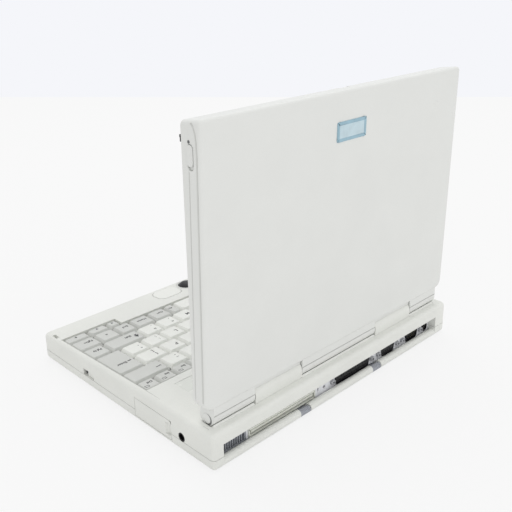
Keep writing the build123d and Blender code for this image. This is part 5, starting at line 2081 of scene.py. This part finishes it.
    def make_dock(self) -> None:
        """Docking connector: pale frame, a dark trough of painted shade inside it and a pale bar
        along its middle.
        """
        z0, z1 = self.dock[2:]
        ivory = self.shelf.take("ivory_plastic")
        body = self.dock_block("dock_frame", 0.0, self.dock_body, (z0, z1))
        round_edges(body, along(BACK), 0.5, 3)
        with editing(body):
            pick_faces(body, facing(BACK))
            inset(0.15, 0.1)
            inset(self.dock_rim)
            push(0.0, -self.dock_hollow, 0.0)
        smooth(body, 30.0)
        dress(body, "base", "ivory_plastic", ivory, "docking_connector")
        margin = self.trough_margin
        trough = self.dock_block("dock_trough_shade", margin, self.trough_body,
                                 (z0 + margin, z1 - margin))
        with editing(trough):
            pick_faces(trough, facing(BACK))
            inset(0.3, -0.2)
        dress(trough, "base", "ivory_plastic", self.shelf.tone("dock_shade"))
        low, high = self.bar_rise
        bar = self.dock_block("dock_bar", self.bar_margin, self.bar_body, (z0 + low, z0 + high))
        round_rim(bar, BACK, 0.25, 3)
        smooth(bar, 30.0)
        dress(bar, "base", "ivory_plastic", ivory)

    def make_sweeps(self) -> None:
        """Soft wedges on the roof's edge that close the gaps behind the turning barrels."""
        y, z = self.hinge_at
        (y0, y1), (z0, z1) = self.sweep_y, self.sweep_z
        strips = []
        for x0, x1 in BARRELS:
            strip = start_block("sweep", (x0, y + y0, z + z0), (x1, y + y1, z + z1))
            with editing(strip):
                pick_faces(strip, facing(UP))
                squeeze((1.0, self.sweep_top, 1.0), (0.0, y + self.sweep_ridge, 0.0))
            round_rim(strip, UP, 0.08, 2)
            strips.append(strip)
        piece = join_pieces(strips, "hinge_sweeps")
        smooth(piece, 30.0)
        dress(piece, "base", "shell_light", self.shelf.tone("sweep_felt"))

    def build(self) -> None:
        """Make the rear's pieces."""
        self.make_serial()
        self.make_screws()
        self.make_dock()
        self.make_sweeps()
        LOG.info("rear ports are in place")


@dataclass
class SideDetails:
    """Lock insert in the right side, latch hooks, their catch floors and the deck's line."""

    shelf: FinishShelf
    side_x: float = 130.65
    lock: Span = (-44.8, -31.1, 9.3, 14.3)
    lock_depth: float = 3.8
    lock_back: float = 1.0
    keyway_span: tuple[float, float] = (0.1, 4.4)
    keyway_depth: float = 1.2
    keyway_hollow: float = 0.8
    insert_from: float = 4.6
    hook_x: float = 127.0
    hook_half: float = 1.0
    hook_y: tuple[float, float] = (81.9, 92.4)
    hook_z: tuple[float, float] = (209.6, 213.0)
    nose_length: float = 1.4
    nose_z: tuple[float, float] = (-1.0, 0.8)
    bar_y: tuple[float, float] = (90.6, 94.8)
    bar_foot: float = 198.6
    line_x: float = 127.2
    line_half: float = 0.18
    line_y: tuple[float, float] = (31.0, 95.6)
    line_foot: float = 26.0
    line_proud: float = 0.06
    deck_at: tuple[float, float] = (31.0, 26.8)
    deck_level_y: float = 80.0
    deck_rise: tuple[float, float] = (0.8, 49.0)
    catch_half: float = 1.3
    catch_y: tuple[float, float] = (-92.5, -86.0)
    catch_z: tuple[float, float] = (18.2, 19.8)

    def make_lock(self) -> None:
        """Pale insert that makes the recess shallow, with a dark keyhole at its front."""
        y0, y1, z0, z1 = self.lock
        inner = self.side_x - self.lock_depth
        insert = start_block("lock_insert", (inner, y0 + self.insert_from, z0 + 0.05),
                             (self.side_x - self.lock_back, y1 - 0.05, z1 - 0.05))
        round_rim(insert, RIGHT, 0.4, 3)
        smooth(insert, 30.0)
        dress(insert, "base", "shell_light", self.shelf.take("shell_light"))
        start, end = self.keyway_span
        keyway = start_block("lock_keyway", (inner, y0 + start, z0 + 0.1),
                             (inner + self.keyway_depth, y0 + end, z1 - 0.1))
        hollow(keyway, RIGHT, 0.5, self.keyway_hollow)
        dress(keyway, "base", "dark_plastic", self.shelf.take("dark_plastic"))

    def make_hooks(self) -> None:
        """Black latch hooks with a rounded nose."""
        (y0, y1), (z0, z1) = self.hook_y, self.hook_z
        for side, name in SIDES:
            x0, x1 = (side * self.hook_x + half for half in (-self.hook_half, self.hook_half))
            arm = start_block("arm", (x0, y0, z0), (x1, y1, z1))
            round_rim(arm, -BACK, 0.4, 3)
            nose = start_block("nose", (x0, y0, z1 + self.nose_z[0]),
                               (x1, y0 + self.nose_length, z1 + self.nose_z[1]))
            round_edges(nose, along(RIGHT), 0.3, 3)
            bar = start_block("bar", (x0, self.bar_y[0], self.bar_foot), (x1, self.bar_y[1], z1))
            round_edges(bar, along(UP), 0.3, 2)
            hook = join_pieces([arm, nose, bar], f"hook_{name}")
            smooth(hook, 30.0)
            dress(hook, f"latch_{name}", "black_plastic", self.shelf.take("black_plastic"),
                  f"latch_hook_{name}")

    def deck_z(self, y: float) -> float:
        """Height of the deck behind the keyboard, which is level past a line."""
        rise, run = self.deck_rise
        return self.deck_at[1] + (min(y, self.deck_level_y) - self.deck_at[0]) * rise / run

    def make_deck_line(self) -> None:
        """Thin moulded line that carries on from the well's right edge, coloured darker as painted
        shade.
        """
        y0, y1 = self.line_y
        foot, top = self.deck_z(y0), self.deck_z(y1)
        line = start_block("deck_line", (self.line_x - self.line_half, y0, self.line_foot),
                           (self.line_x + self.line_half, y1, foot + self.line_proud))
        above, lengthwise = all_above(Z_AXIS, foot - 0.1), along(BACK)
        with editing(line):
            pick_faces(line, facing(BACK))
            bpy.ops.transform.translate(value=(0.0, 0.0, (top - foot) * MM))
            pick_edges(line, lambda edge: above(edge) and lengthwise(edge))
            bevel(0.04, 2)
        smooth(line, 30.0)
        dress(line, "base", "shell_light", self.shelf.tone("line_shade"))

    def make_catches(self) -> None:
        """Raised floors in the front slots that the latch hooks enter, paler than the shell as
        painted light against the slots' shade.
        """
        (y0, y1), (z0, z1) = self.catch_y, self.catch_z
        floors = []
        for side, _ in SIDES:
            x = side * self.hook_x
            floor = start_block("floor", (x - self.catch_half, y0, z0),
                                (x + self.catch_half, y1, z1))
            with editing(floor):
                pick_faces(floor, facing(UP))
                inset(0.4, -0.15)
            floors.append(floor)
        piece = join_pieces(floors, "catch_floors")
        dress(piece, "base", "shell_light", self.shelf.tone("catch_painted_light"))

    def build(self) -> None:
        """Make the side's and the deck's pieces."""
        self.make_lock()
        self.make_catches()
        self.make_hooks()
        self.make_deck_line()
        LOG.info("side details are in place")


# The dressed computer


def finish_nodes(shelf: FinishShelf) -> None:
    """Give every CAD node its finish; those that no piece replaces are shown as they are.

    Args:
        shelf: Where the finishes come from.
    """
    for row in frame["record"]["subparts"]:
        node = frame["nodes"].get(row["node"])
        if node is None:
            continue
        node.data.materials.clear()
        node.data.materials.append(shelf.for_node(row["node"], row["material_slot"]))
    LOG.info("%d nodes have their finishes", len(frame["nodes"]))


def main() -> None:
    """Build the dressed computer in its studio."""
    logging.basicConfig(level=logging.INFO, format="%(name)s: %(message)s")
    shelf = FinishShelf()
    finish_nodes(shelf)
    Keyboard(shelf).build()
    LidDetails(shelf).build()
    RearPorts(shelf).build()
    SideDetails(shelf).build()
    Studio().build()
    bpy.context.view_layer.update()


if __name__ == "__main__":
    main()
